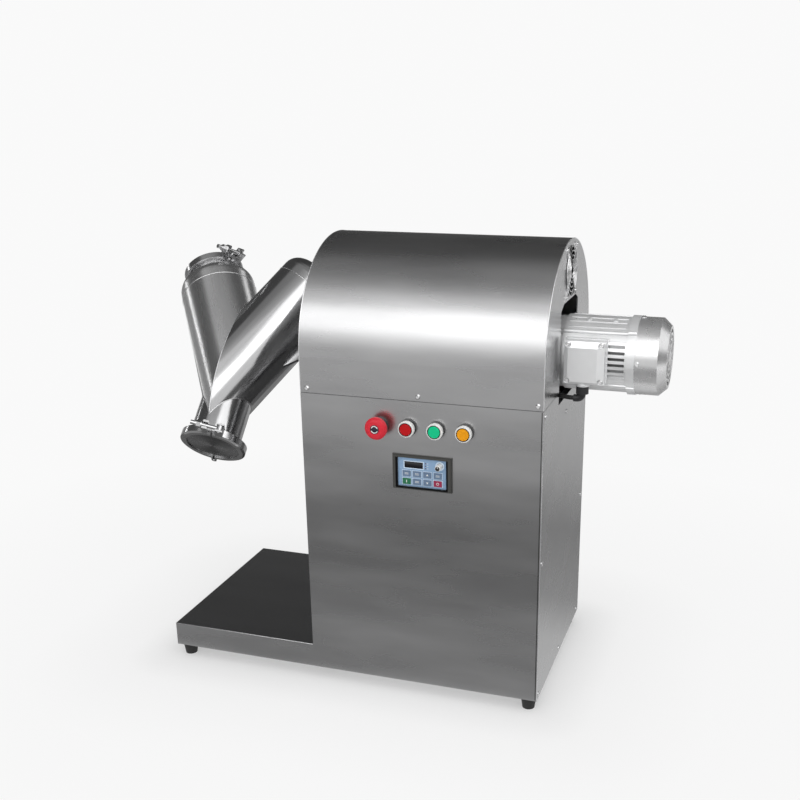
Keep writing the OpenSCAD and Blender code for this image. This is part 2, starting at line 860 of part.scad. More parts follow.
// Switch bodies behind the panel
module contact_blocks()
    color("darkgray")
        for (i = [0 : 3])
            difference() {
                translate([at_button(i), block_y, z_skirt + button_z])
                    union() {
                        block(-13, 13, 0, 34, -20, 20);
                        block(-15, 15, 34, 44, -22, 22);
                    }
                rod_y(at_button(i), block_y - 1, block_y + 12, z_skirt + button_z, stop_neck_r + 0.5);
            }

// Keypad of the speed drive
module keypad_frame()
    color("black")
        translate([-keypad_x, y_front, keypad_z + foot_h])
            difference() {
                union() {
                    block(-keypad_w / 2, keypad_w / 2, -frame_out + 2, 0, -keypad_h / 2, keypad_h / 2);
                    translate([-keypad_w / 2 + 1.5, -frame_out, -keypad_h / 2 + 1.5])
                        cube([keypad_w - 3, 2, keypad_h - 3]);
                }
                block(-face_w / 2, face_w / 2, -frame_out - 1, 1, -face_h / 2, face_h / 2);
            }

module keypad_face()
    color("lightsteelblue")
        difference() {
            block(-keypad_x - face_w / 2, -keypad_x + face_w / 2, y_front - face_out, y_front + sheet,
                keypad_z + foot_h - face_h / 2, keypad_z + foot_h + face_h / 2);
            for (i = [0 : 7])
                key_shape(i, run_fit * 2, key_deep);
            rod_y(knob_x, y_front - 9, y_front + sheet + 1, knob_z, 3 + run_fit);
            block(-keypad_x - 33, -keypad_x + 1.5, y_front - face_out - 1, y_front - face_out + 0.6,
                keypad_z + foot_h + 7.5, keypad_z + foot_h + 19.5);
        }

// Speed drive behind the keypad, hung on the panel by its rim
module drive_body()
    color("dimgray")
        difference() {
            block(-keypad_x - face_w / 2 + 1, -keypad_x + face_w / 2 - 1,
                y_front + sheet, y_front + drive_deep,
                keypad_z + foot_h - face_h / 2 + 1, keypad_z + foot_h + face_h / 2 - 1);
            for (i = [0 : 7])
                key_shape(i, run_fit * 2, key_deep + key_travel + 2.5);
            rod_y(knob_x, y_front - 9, y_front + sheet + 10, knob_z, 3 + run_fit);
            for (i = [0 : 6])
                block(-keypad_x - 38 + i * 12, -keypad_x - 34 + i * 12,
                    y_front + drive_deep - fin_deep, y_front + drive_deep + 1,
                    keypad_z + foot_h - fin_h / 2, keypad_z + foot_h + fin_h / 2);
            rod_z(-keypad_x, y_front + drive_deep - 12, keypad_z + foot_h + face_h / 2 - 6,
                keypad_z + foot_h + face_h / 2, cable_r + run_fit);
        }

function key_x(i) = key_x0 + (i % 4) * key_step;
function key_z(i) = key_rows[floor(i / 4)];

module key_shape(i, grow, deep)
    block(key_x(i) - key_w / 2 - grow, key_x(i) + key_w / 2 + grow, y_front - face_out - key_out - grow,
        y_front + deep, key_z(i) - key_h / 2 - grow, key_z(i) + key_h / 2 + grow);

module key(i)
    color(i == 4 ? "green" : i == 7 ? "red" : "slategray")
        key_shape(i, 0, key_deep);

module knob()
    color("white")
        translate([knob_x, y_front - face_out, knob_z])
            rotate([90, 0, 0])
                difference() {
                    union() {
                        translate([0, 0, 0.5])
                            cylinder(r = knob_r, h = 13.5);
                        translate([0, 0, 14])
                            cylinder(r1 = knob_r, r2 = knob_r - 1, h = 1);
                        translate([0, 0, -face_out - sheet - 6])
                            cylinder(r = 3, h = 12);
                    }
                    translate([-0.5, 0.5, 14])
                        cube([1, knob_r, 2]);
                }

// Vessel and everything that turns with it
module on_vessel()
    translate([vessel_x, 0, z_axis])
        rotate([-tilt, 0, 0])
            children();

// Lid joints: children are drawn with Z outwards and the swing bolt at +X
module at_left_arm()
    on_vessel()
        translate([0, 0, -apex_drop])
            rotate([0, -vee, 0])
                translate([0, 0, arm_joint])
                    rotate([0, 0, -arm_turn])
                        children();

module at_spout()
    on_vessel()
        translate([0, 0, -apex_drop])
            rotate([180, 0, 0])
                translate([0, 0, spout_joint])
                    rotate([0, 0, spout_turn])
                        children();

// Outline of an arm with its rounded shoulder and its end; t thins it by the wall
function arm_outline(length, t, end) = concat(
    [[0, -170], [arm_r - t, -170]],
    [for (a = [0 : 10 : 90]) [neck_r + (shoulder_r - t) * cos(a), length + (shoulder_r - t) * sin(a)]],
    end
);

// End of the left arm: the open neck under the lid
function neck_end(t, top) = [
    [neck_r - t, left_len + shoulder_r - t],
    [neck_r - t, top],
    [0, top]
];

// End of the right arm: a shallow closed dome
function dome_end(t) = [
    [neck_r / 2, right_len + shoulder_r - t + dome_h * 0.75],
    [0, right_len + shoulder_r - t + dome_h]
];

module arm_form(side, t)
    rotate([0, side * vee, 0])
        rotate_extrude()
            polygon(side < 0
                ? arm_outline(left_len, t, neck_end(t, arm_joint + (t > 0 ? 1 : -1.5)))
                : arm_outline(right_len, t, dome_end(t)));

// What is cut from an arm: its inside, the other arm's side and the spout's place
module arm_cut(side)
    on_vessel()
        translate([0, 0, -apex_drop]) {
            arm_form(side, wall);
            translate([side > 0 ? -400 : 0, -200, -400])
                cube([400, 400, 800]);
            translate([-200, -200, -400])
                cube([400, 400, 400 - spout_start()]);
            translate([0, 0, -spout_joint])
                cylinder(r = spout_r, h = spout_joint);
        }

// Depth at which the V has narrowed to the spout's width
function spout_start() = arm_r / sin(vee) * sqrt(1 - pow((spout_r - 4) / arm_r, 2));

// Welded flange around a tube of radius r, under the joint; the bore is cut later
module flange(r)
    rotate_extrude()
        polygon([
            [r - wall - 4, -seal_t / 2], [r + flange_rise, -seal_t / 2],
            [r + flange_rise, -seal_t / 2 - 2.4],
            [r + 1.5, -seal_t / 2 - flange_t + 1], [r + 1.5, -seal_t / 2 - flange_t - 1],
            [r - wall - 4, -seal_t / 2 - flange_t - 1]
        ]);

module arm_left()
    color("gainsboro")
        difference() {
            union() {
                on_vessel()
                    translate([0, 0, -apex_drop])
                        arm_form(-1, 0);
                at_left_arm()
                    flange(neck_r);
            }
            arm_cut(-1);
        }

module arm_right()
    color("gainsboro")
        difference() {
            on_vessel()
                translate([0, 0, -apex_drop])
                    arm_form(1, 0);
            arm_cut(1);
        }

// Inside of one arm, down to where the spout takes over
module arm_room(side)
    difference() {
        arm_form(side, wall);
        translate([side > 0 ? -400 : 0, -200, -400])
            cube([400, 400, 800]);
        translate([-200, -200, -400])
            cube([400, 400, 400 - spout_start()]);
    }

// Short spout where the arms meet, open into both
module spout()
    color("gainsboro")
        difference() {
            union() {
                on_vessel()
                    translate([0, 0, -apex_drop - spout_joint + 1.5])
                        cylinder(r = spout_r, h = spout_joint - 1.5);
                at_spout()
                    flange(spout_r);
            }
            on_vessel()
                translate([0, 0, -apex_drop]) {
                    translate([0, 0, -spout_joint - 1])
                        cylinder(r = spout_r - wall, h = spout_joint + 2);
                    arm_room(-1);
                    arm_room(1);
                }
        }

// Sleeve welded to the right arm, with two gusset plates
module hub()
    color("gainsboro")
        on_vessel()
            difference() {
                union() {
                    rod_x(hub_x - 60, hub_end, 0, 0, hub_r);
                    for (s = [0, 180])
                        rotate([s, 0, 0])
                            translate([0, gusset_t / 2, 0])
                                rotate([90, 0, 0])
                                    linear_extrude(gusset_t)
                                        polygon([
                                            [hub_x - 70, 0], [hub_end - 8, 0], [hub_end - 8, hub_r + 4],
                                            [hub_x - 42, gusset_reach], [hub_x - 70, gusset_reach]
                                        ]);
                }
                translate([0, 0, -apex_drop])
                    rotate([0, vee, 0])
                        cylinder(r = arm_r, h = right_len);
                rod_x(hub_x, hub_end + 1, 0, 0, shaft_r);
            }

module main_shaft()
    color("silver")
        on_vessel()
            rod_x(hub_x + 12, couple_x - vessel_x - 0.5, 0, 0, shaft_r);

module bearing_rings()
    color("silver")
        on_vessel()
            for (x = bearing_x)
                pipe_x(x - vessel_x - 21, x - vessel_x + 21, 0, 0, ring_r, shaft_r);

// Split muff coupling, two half shells
module shaft_coupling()
    color("dimgray")
        on_vessel()
            for (s = [0, 180])
                rotate([s, 0, 0])
                    difference() {
                        pipe_x(couple_mid - couple_len / 2, couple_mid + couple_len / 2, 0, 0,
                            couple_r, shaft_r);
                        block(couple_mid - 50, couple_mid + 50, -50, 50, -50, 0.6);
                        for (x = [-24, 24])
                            for (y = [-19, 19])
                                rod_z(couple_mid + x, y, 0, 40, 2.5);
                    }

module gear_shaft()
    color("silver")
        on_vessel()
            rod_x(couple_x - vessel_x + 0.5, deck_x - vessel_x + 58, 0, 0, shaft_r);

// Lid over a tube of radius r
module lid(r)
    rotate_extrude()
        polygon([
            [0, seal_t / 2], [r + flange_rise, seal_t / 2], [r + flange_rise, seal_t / 2 + 2.4],
            [r + 1.5, seal_t / 2 + flange_t - 1], [0, seal_t / 2 + flange_t - 1]
        ]);

module lids()
    color("gainsboro") {
        at_left_arm()
            lid(neck_r);
        at_spout()
            lid(spout_r);
    }

module gasket(r)
    translate([0, 0, -seal_t / 2])
        difference() {
            cylinder(r = r + flange_rise - 1, h = seal_t);
            translate([0, 0, -1])
                cylinder(r = r - wall, h = seal_t + 2);
        }

module gaskets()
    color("white") {
        at_left_arm()
            gasket(neck_r);
        at_spout()
            gasket(spout_r);
    }

// Section of the clamp ring around a tube of radius r
module clamp_ring(r) {
    lip = r + 2.5;
    groove = r + flange_rise + 0.3;
    slope = (flange_t - 1 - 2.4) / (flange_rise - 1.5);
    z0 = seal_t / 2 + 2.4 + 0.1;
    z1 = z0 + (groove - lip) * slope;
    w = clamp_w / 2;
    rotate_extrude()
        polygon([
            [r + clamp_rise, -w + 2], [r + clamp_rise, w - 2], [r + clamp_rise - 4, w], [lip, w],
            [lip, z1], [groove, z0], [groove, -z0], [lip, -z1], [lip, -w], [r + clamp_rise - 4, -w]
        ]);
}

// Half with the slotted ear, or half with the fork that holds the swing bolt
module clamp_half(r, slotted) {
    c = r + clamp_rise;
    w = clamp_w / 2;
    bx = c + bolt_out;
    difference() {
        union() {
            difference() {
                clamp_ring(r);
                translate([-200, slotted ? -400 + 1.5 : -1.5, -50])
                    cube([400, 400, 100]);
            }
            if (slotted) {
                for (z = [-w, 3])
                    translate([-c - 5.5, 0, z])
                        cylinder(r = 5, h = w - 3);
                for (z = [-w, 3])
                    block(-c - 5.5, -c + 4, 1.5, 5, z, z + w - 3);
                block(c - 4, bx + 5.5, 8, 18, -w, w);
            } else {
                translate([-c - 5.5, 0, -2.8])
                    cylinder(r = 5, h = 5.6);
                block(-c - 5.5, -c + 4, -5, -1.5, -2.8, 2.8);
                block(c - 4, c + 5, -21, -7, -w, w);
                for (z = [-w, w - 3.2])
                    block(c + 4, bx + 7, -21, -7, z, z + 3.2);
            }
        }
        rod_z(-c - 5.5, 0, -w - 1, w + 1, 2.5);
        rod_z(bx, -14, -w - 1, w + 1, 3);
        block(bx - bolt_r - 1.2, bx + 20, 7, 19, -bolt_r - 0.6, bolt_r + 0.6);
    }
}

// The arm's clamp is turned over: its bolt points to the left
module clamps()
    color("silver") {
        at_left_arm()
            rotate([180, 0, 0]) {
                clamp_half(neck_r, true);
                clamp_half(neck_r, false);
            }
        at_spout() {
            clamp_half(spout_r, true);
            clamp_half(spout_r, false);
        }
    }

// Hinge pin and bolt pivot of a clamp
module pin_pair(r) {
    c = r + clamp_rise;
    w = clamp_w / 2;
    rod_z(-c - 5.5, 0, -w - 0.8, w + 0.8, 2.5);
    rod_z(c + bolt_out, -14, -w - 0.8, w + 0.8, 3);
}

module clamp_pins()
    color("silver") {
        at_left_arm()
            rotate([180, 0, 0])
                pin_pair(neck_r);
        at_spout()
            pin_pair(spout_r);
    }

// Swing bolt with its nut
module swing_bolt(r) {
    bx = r + clamp_rise + bolt_out;
    translate([bx, 0, 0]) {
        difference() {
            union() {
                rod_z(0, -14, -4.6, 4.6, 6.5);
                rod_y(0, -14, 40, 0, bolt_r);
            }
            rod_z(0, -14, -5, 5, 3 + run_fit);
        }
        difference() {
            union() {
                rod_y(0, 18.8, 20.6, 0, 8.2);
                translate([0, 20.6, 0])
                    rotate([-90, 0, 0])
                        cylinder(r = 7.6, h = 8, $fn = 6);
                rod_y(0, 28.6, 31, 0, 5.6);
            }
            rod_y(0, 18, 32, 0, bolt_r);
        }
    }
}

module bolt_arm()
    color("gainsboro")
        at_left_arm()
            rotate([180, 0, 0])
                swing_bolt(neck_r);

module bolt_spout()
    color("gainsboro")
        at_spout()
            swing_bolt(spout_r);

// Fan on the rear end of the motor's shaft
module motor_fan()
    color("dimgray")
        union() {
            rod_x(motor_len + 3, fan_x + 30, 0, z_axis, motor_shaft_r);
            rod_x(fan_x, fan_x + 26, 0, z_axis, 16);
            rod_x(fan_x, fan_x + 3, 0, z_axis, 50);
            for (a = [0 : 45 : 315])
                translate([0, 0, z_axis])
                    rotate([a, 0, 0])
                        block(fan_x + 2, fan_x + 24, -1.5, 1.5, 12, 52);
        }

module fan_rotor()
    color("black")
        union() {
            rod_x(-sheet - fan_t + 6, -sheet - 3, 0, fan_z, 18);
            rod_x(-sheet - fan_t + 1, -sheet - fan_t + 8, 0, fan_z, 3);
            for (a = [0 : 360 / 7 : 359])
                translate([-sheet - fan_t + 14, 0, fan_z])
                    rotate([a, 0, 0])
                        translate([0, 0, 30])
                            rotate([0, 0, 40])
                                cube([20, 1.8, 26], center = true);
        }

// Emergency stop: a stem that is pressed in, and a head that is twisted to let go
module stop_stem()
    color("dimgray")
        translate([stop_x, y_front, z_skirt + button_z])
            rotate([90, 0, 0])
                union() {
                    translate([0, 0, -sheet - 16])
                        cylinder(r = stop_neck_r, h = sheet + 16 + stop_back - 0.2);
                    translate([0, 0, stop_back - 1])
                        cylinder(r = stop_pin_r, h = 8);
                }

module stop_head()
    color("red")
        translate([stop_x, y_front, z_skirt + button_z])
            rotate([90, 0, 0])
                difference() {
                    union() {
                        translate([0, 0, stop_back])
                            cylinder(r1 = stop_r - 4, r2 = stop_r, h = 4);
                        translate([0, 0, stop_back + 4])
                            cylinder(r = stop_r, h = stop_out - stop_back - 9);
                        translate([0, 0, stop_out - 5])
                            cylinder(r1 = stop_r, r2 = stop_r - 3, h = 3.4);
                        translate([0, 0, stop_out - 1.6])
                            cylinder(r1 = stop_r - 3, r2 = stop_r - 7, h = 1.6);
                    }
                    translate([0, 0, stop_back - 1])
                        cylinder(r = stop_pin_r + run_fit, h = 8.3);
                }

module cap(i)
    translate([at_button(i), y_front, z_skirt + button_z])
        rotate([90, 0, 0])
            union() {
                translate([0, 0, bezel_out - cap_t])
                    cylinder(r = cap_r, h = cap_t);
                translate([0, 0, bezel_out])
                    cylinder(r1 = cap_r, r2 = cap_r - 1, h = 1);
                translate([0, 0, -sheet - 10])
                    cylinder(r = push_r, h = bezel_out + sheet + 6);
            }

module cap_orange()
    color("orange")
        cap(0);

module cap_green()
    color("green")
        cap(1);

module cap_red()
    color("red")
        cap(2);

module key_1() key(0);
module key_2() key(1);
module key_3() key(2);
module key_4() key(3);
module key_5() key(4);
module key_6() key(5);
module key_7() key(6);
module key_8() key(7);

placed() frame();
placed() base_sheet();
placed() floor_plates();
placed() front_panel();
placed() back_panel();
placed() right_panel();
placed() deck();
placed() hood();
placed() hood_end();
placed() feet();
placed() panel_screws();
placed() bearing_housings();
placed() deck_bolts();
placed() gear_housing();
placed() motor_shields();
placed() motor_body();
placed() fan_cowl();
placed() terminal_box();
placed() terminal_lid();
placed() small_screws();
placed() cable_glands();
placed() motor_cable();
placed() fan_frame();
placed() fan_guard();
placed() button_bezels();
placed() stop_collar();
placed() contact_blocks();
placed() keypad_frame();
placed() keypad_face();
placed() drive_body();
placed() arm_left();
placed() arm_right();
placed() spout();
placed() hub();
placed() main_shaft();
placed() bearing_rings();
placed() shaft_coupling();
placed() gear_shaft();
placed() lids();
placed() gaskets();
placed() clamps();
placed() clamp_pins();
placed() bolt_arm();
placed() bolt_spout();
placed() motor_fan();
placed() fan_rotor();
placed() stop_stem();
placed() stop_head();
placed() cap_red();
placed() cap_green();
placed() cap_orange();
placed() knob();
placed() key_1();
placed() key_2();
placed() key_3();
placed() key_4();
placed() key_5();
placed() key_6();
placed() key_7();
placed() key_8();
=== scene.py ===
# %% [markdown]
# # A V blender, dressed in Blender
#
# The machine is a steel cabinet with a round hood. A V-shaped vessel hangs on a shaft at its left,
# and a small geared motor sticks out at its right. OpenSCAD has made every solid. This lesson gives
# those solids their finishes, adds the thin things that a machinist would not draw, and lights the
# whole as in a product picture. The solids are a fixed frame: we never move them, and only hang
# materials and new pieces on them.

# %% Load the imported solids
import math
import bmesh
import bpy
from mathutils import Matrix, Vector


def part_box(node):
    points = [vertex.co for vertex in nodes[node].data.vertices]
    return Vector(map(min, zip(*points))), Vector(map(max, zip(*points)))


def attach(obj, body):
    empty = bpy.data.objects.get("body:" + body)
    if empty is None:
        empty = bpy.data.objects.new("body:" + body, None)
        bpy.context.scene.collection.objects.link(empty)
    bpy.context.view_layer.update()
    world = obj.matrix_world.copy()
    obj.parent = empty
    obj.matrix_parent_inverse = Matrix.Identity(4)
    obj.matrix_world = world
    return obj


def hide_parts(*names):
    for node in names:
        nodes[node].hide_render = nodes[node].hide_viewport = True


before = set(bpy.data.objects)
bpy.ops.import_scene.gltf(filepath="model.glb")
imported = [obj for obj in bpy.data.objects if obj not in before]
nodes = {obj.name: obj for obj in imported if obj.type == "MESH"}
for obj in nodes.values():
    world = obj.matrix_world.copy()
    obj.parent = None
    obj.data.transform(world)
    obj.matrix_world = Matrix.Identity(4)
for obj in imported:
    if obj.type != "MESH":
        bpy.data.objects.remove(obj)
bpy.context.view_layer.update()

# %% [markdown]
# ## The camera
#
# The picture was taken from the front right, a little above the machine. The camera's place and
# turn were measured from the cabinet's edges: an offset from its lower front right corner and three
# directions. A small shift of the lens moves the frame without tilting the camera.

# %% Set up the camera
scene = bpy.context.scene
MM = 0.001


def new_object(name, data):
    """Hangs data, such as a camera or a lamp, on a new object in the scene."""
    made = bpy.data.objects.new(name, data)
    scene.collection.objects.link(made)
    return made


front_low, front_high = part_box("front_panel")
corner = Vector((front_high.x, front_low.y, front_low.z))
eye = corner + Vector((0.36763, -1.70745, 1.06997))
eye_right = Vector((0.95085, 0.30953, -0.00849))
eye_up = Vector((-0.09441, 0.31593, 0.94407))
eye_back = Vector((0.29490, -0.89687, 0.32962))

camera_data = bpy.data.cameras.new("photo_camera")
camera_data.sensor_width = 36.0
camera_data.lens = 48.869
camera_data.shift_x = -0.0424
camera_data.shift_y = 0.0800
camera = new_object("photo_camera", camera_data)
turn = Matrix((eye_right, eye_up, eye_back)).transposed().to_4x4()
camera.matrix_world = Matrix.Translation(eye) @ turn
scene.camera = camera
scene.view_settings.view_transform = "Standard"
print("camera at", [round(c, 3) for c in eye])

# %% [markdown]
# ## Building shader node trees with few words
#
# Every material below is a small graph of nodes. A few helpers keep the cells short: `add_node`
# places a node and sets its values by socket name, `wire` joins an output to an input, `chain` joins
# nodes in a row, `mapped` reads an object's own coordinates, `empty_tree` clears the nodes a new
# material starts with, and `set_ramp` writes the stops of a Color Ramp.

# %% Helpers for node trees
def add_node(tree, kind, values=None, **settings):
    """Adds a ShaderNode of a kind; settings are its properties, values its socket defaults."""
    made = tree.nodes.new("ShaderNode" + kind)
    for key, value in settings.items():
        setattr(made, key, value)
    for key, value in (values or {}).items():
        made.inputs[key].default_value = value
    return made


def wire(tree, source, out, target, socket):
    """Joins an output to an input, both by name or number."""
    tree.links.new(source.outputs[out], target.inputs[socket])


def chain(tree, *row):
    """Joins nodes in a row, each one's first output to the next one's first input."""
    for source, target in zip(row, row[1:]):
        wire(tree, source, 0, target, 0)


def mapped(tree, values, **settings):
    """A Mapping node on Object coordinates."""
    made = add_node(tree, "Mapping", values, **settings)
    wire(tree, add_node(tree, "TexCoord"), "Object", made, "Vector")
    return made


def empty_tree(holder):
    """Turns on the nodes of a material or world and clears them."""
    holder.use_nodes = True
    holder.node_tree.nodes.clear()
    return holder.node_tree


def set_ramp(ramp, stops):
    """Writes (place, grey) stops into a Color Ramp node."""
    row = ramp.color_ramp.elements
    while len(row) < len(stops):
        row.new(0.5)
    for element, (place, grey) in zip(row, stops):
        element.position = place
        element.color = (grey, grey, grey, 1.0)
    return ramp


# %% [markdown]
# ## Floor and sky
#
# The machine stands on a plain pale floor that fades into a white background. The floor is a real
# surface with a shadow close to the base. Its distance from the base's outline is measured in the
# material, and further out it becomes an even white, so no horizon shows.
# The sky is white where the camera, a polished surface or glass looks at it, and a softer grey
# where it only lights the machine.

# %% Make the white floor and sky
def white_to_the_eye(tree):
    """A factor that is 1 for rays from the camera, a mirror or glass."""
    path = add_node(tree, "LightPath")
    first = add_node(tree, "Math", operation="MAXIMUM")
    both = add_node(tree, "Math", operation="MAXIMUM")
    wire(tree, path, "Is Camera Ray", first, 0)
    wire(tree, path, "Is Glossy Ray", first, 1)
    chain(tree, first, both)
    wire(tree, path, "Is Transmission Ray", both, 1)
    return both


WHITE = (1, 1, 1, 1)
BACKDROP = 0.95
sky = bpy.data.worlds.new("studio_sky")
scene.world = sky
tree = empty_tree(sky)
seen = add_node(tree, "Background", {"Color": WHITE, "Strength": BACKDROP})
light = add_node(tree, "Background", {"Color": WHITE, "Strength": 0.60})
choose = add_node(tree, "MixShader")
out = add_node(tree, "OutputWorld")
chain(tree, white_to_the_eye(tree), choose, out)
wire(tree, light, 0, choose, 1)
wire(tree, seen, 0, choose, 2)

bpy.ops.object.select_all(action="DESELECT")
bpy.ops.mesh.primitive_circle_add(vertices=96, radius=9.0, fill_type="NGON",
                                  location=(0, 0, -0.0005))
floor = bpy.context.object
floor.name = "pale_floor"

paper = bpy.data.materials.new("pale_paper")
tree = empty_tree(paper)
place = add_node(tree, "TexCoord")
foot_low, foot_high = front_low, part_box("right_panel")[1]
foot_middle, foot_half = (foot_low + foot_high) / 2, (foot_high - foot_low) / 2
shift = add_node(tree, "VectorMath", {1: (foot_middle.x, foot_middle.y, 0)},
                 operation="SUBTRACT")
fold = add_node(tree, "VectorMath", operation="ABSOLUTE")
outside = add_node(tree, "VectorMath", {1: (foot_half.x, foot_half.y, 1)},
                   operation="SUBTRACT")
beyond = add_node(tree, "VectorMath", {1: (0, 0, 0)}, operation="MAXIMUM")
reach = add_node(tree, "VectorMath", operation="LENGTH")
fade = set_ramp(add_node(tree, "ValToRGB"),
                [(0.0, 0.40), (0.10, 0.76), (0.30, 0.90), (1.0, 1.0)])
matt = add_node(tree, "BsdfDiffuse", {"Color": (0.90, 0.90, 0.90, 1)})
glow = add_node(tree, "Emission", {"Color": WHITE, "Strength": BACKDROP})
part = add_node(tree, "Math", operation="MULTIPLY")
mix = add_node(tree, "MixShader")
out = add_node(tree, "OutputMaterial")
wire(tree, place, "Object", shift, 0)
chain(tree, shift, fold, outside, beyond, reach)
wire(tree, reach, "Value", fade, 0)
chain(tree, fade, part, mix, out)
wire(tree, white_to_the_eye(tree), 0, part, 1)
wire(tree, matt, 0, mix, 1)
wire(tree, glow, 0, mix, 2)
floor.data.materials.append(paper)
print("floor and sky are set")

# %% [markdown]
# ## Soft boxes
#
# Metal shows what stands around it. A photographer lights steel with wide soft boxes. The one in
# front makes the bright band on the hood's shoulder and the long highlight on the V. The one at the
# right fills the spout and the motor. The narrow one at the left draws a thin line down the arm.

# %% Set the lamps
def soft_box(name, place, aim, size, bright):
    """An area lamp of a given brightness at a place, turned towards a point."""
    data = bpy.data.lights.new(name, "AREA")
    data.shape = "RECTANGLE"
    data.size, data.size_y = size
    data.energy = bright * math.pi * size[0] * size[1]
    lamp = new_object(name, data)
    lamp.location = place
    look = Vector(aim) - Vector(place)
    lamp.rotation_euler = look.to_track_quat("-Z", "Y").to_euler()
    lamp.visible_camera = False


soft_box("front_box", (0.0, -2.35, 1.95), (-0.1, 0.0, 0.70), (3.4, 1.3), 1.25)
soft_box("right_box", (1.13, -1.00, 2.48), (-0.3, -0.1, 0.55), (2.2, 1.5), 1.20)
soft_box("left_strip", (-2.85, 0.25, 1.08), (-0.4, 0.0, 0.65), (1.0, 0.14), 3.0)

# %% [markdown]
# ## Grey cards
#
# Around the object stand grey and dark cards, so that the steel has something to show besides white.
# Dark cards behind and above give the hood's top and the base plate their deep greys, and graded
# cards on the floor give the front sheet its slow change from light to dark. The cards are seen only
# by polished surfaces: the camera does not see them, and they take no light away.

# %% Set the cards
def grey_card(name, place, aim, size, stops):
    """A card that only mirrors see; stops grade it from its lower to its upper edge."""
    bpy.ops.object.select_all(action="DESELECT")
    bpy.ops.mesh.primitive_plane_add(size=1.0)
    card = bpy.context.object
    card.name = name
    card.scale = (size[0], size[1], 1.0)
    card.location = place
    look = Vector(aim) - Vector(place)
    card.rotation_euler = look.to_track_quat("Z", "Y").to_euler()
    made = bpy.data.materials.new(name)
    tree = empty_tree(made)
    spot = add_node(tree, "TexCoord")
    split = add_node(tree, "SeparateXYZ")
    shift = add_node(tree, "Math", {1: 0.5}, operation="ADD")
    ramp = set_ramp(add_node(tree, "ValToRGB"), stops)
    tint = add_node(tree, "Emission", {"Strength": 1.0})
    out = add_node(tree, "OutputMaterial")
    wire(tree, spot, "Object", split, 0)
    wire(tree, split, "Y", shift, 0)
    chain(tree, shift, ramp, tint, out)
    card.data.materials.append(made)
    card.visible_camera = card.visible_diffuse = False
    card.visible_shadow = card.visible_transmission = False
    return card


def flat_card(name, low, high, height, stops):
    """A card that lies flat at a height; stops run from its near edge (low y) to its far edge."""
    middle = ((low[0] + high[0]) / 2, (low[1] + high[1]) / 2, height)
    card = grey_card(name, middle, middle, (high[0] - low[0], high[1] - low[1]), stops)
    card.rotation_euler = (0, 0, 0)


grey_card("card_behind", (-0.2, 3.2, 2.3), (-0.2, 0.0, 2.3), (9.0, 5.4),
          [(0.0, 0.62), (0.16, 0.56), (0.25, 0.10), (0.5, 0.06), (1.0, 0.08)])
flat_card("card_above", (-4.5, -2.4), (4.5, 3.6), 4.6,
          [(0.0, 0.60), (0.10, 0.44), (0.22, 0.28), (0.42, 0.26),
           (0.62, 0.12), (0.75, 0.07), (1.0, 0.07)])
grey_card("card_left", (-3.2, 0.0, 2.1), (0.0, 0.0, 2.1), (6.8, 4.6),
          [(0.0, 0.30), (0.15, 0.22), (0.3, 0.07), (1.0, 0.09)])
grey_card("card_right_low", (3.4, -0.2, 0.45), (0.0, -0.2, 0.45), (4.6, 1.6),
          [(0.0, 0.12), (1.0, 0.10)])
grey_card("card_front_low", (0.0, -3.3, 0.25), (0.0, 0.0, 0.25), (7.0, 1.3),
          [(0.0, 0.50), (1.0, 0.58)])
grey_card("card_back_bright", (0.65, 2.6, 2.1), (-0.3, 0.0, 0.7), (0.7, 0.6),
          [(0.0, 1.0), (1.0, 1.0)])
ON_FLOOR = 0.003
flat_card("card_floor_front", (-2.2, -2.85), (1.6, -0.21), ON_FLOOR,
          [(0.0, 0.68), (0.20, 0.62), (0.32, 0.56), (0.60, 0.24),
           (0.72, 0.11), (0.80, 0.16), (0.90, 0.29), (1.0, 0.28)])
flat_card("card_floor_left", (-2.4, -0.2), (-0.44, 1.8), ON_FLOOR, [(0.0, 0.13), (1.0, 0.16)])
flat_card("card_floor_back", (-0.43, -0.21), (2.2, 2.95), ON_FLOOR,
          [(0.0, 0.64), (0.10, 0.58), (0.16, 0.34), (0.29, 0.26),
           (0.44, 0.45), (0.57, 0.52), (1.0, 0.60)])

# %% [markdown]
# ## Places on the machine
#
# The source of the solids measures from the right face of the cabinet, the middle of its depth and
# the floor, in millimetres. `at` turns such a point into the frame's metres. The vessel leans, so it
# has a matrix of its own: its origin is the shaft's line, and its axes lean with the V.

# %% Helpers for places
HALF_DEPTH = 196
right_face = front_high.x
mid_depth = front_low.y + HALF_DEPTH * MM


def at(x, y, z):
    """A point of the machine, in the frame's metres."""
    return Vector((right_face + x * MM, mid_depth + y * MM, z * MM))


def facing_front(x, y, z):
    """Stands a flat piece up: its own X runs right, its Y up, and its Z to the front."""
    return Matrix.Translation(at(x, y, z)) @ Matrix.Rotation(math.radians(90), 4, "X")


AXIS_Z = 637.5
LEAN = math.radians(-44.2)
VEE = math.radians(28.5)
ARM_R = 74.5 * MM
SPOUT_R = 48.0 * MM
vessel = Matrix.Translation(at(-639, 0, AXIS_Z)) @ Matrix.Rotation(LEAN, 4, "X")
apex = vessel @ Matrix.Translation((0, 0, -94.7 * MM))
print("apex of the V at", [round(c, 3) for c in apex.translation])

# %% [markdown]
# ## The motor lead
#
# The motor's lead is a black round cable. It leaves the elbow of its gland, runs aslant into the
# hood and goes down to the drive behind the keypad. A cable is a fixed length of something flexible,
# so it is one smooth curve with a round bevel. Its points repeat the route of the solid that it
# stands for, with every bend at four times the cable's diameter. A curve is as thick as its bevel
# depth times the radius of its points. Blender measures a curve's box by the points' radius alone, so
# the depth is one metre here and the points carry the cable's radius.

# %% Lay the motor lead
LEAD_R = 4.0
BEND = 8 * LEAD_R
STEP = 9


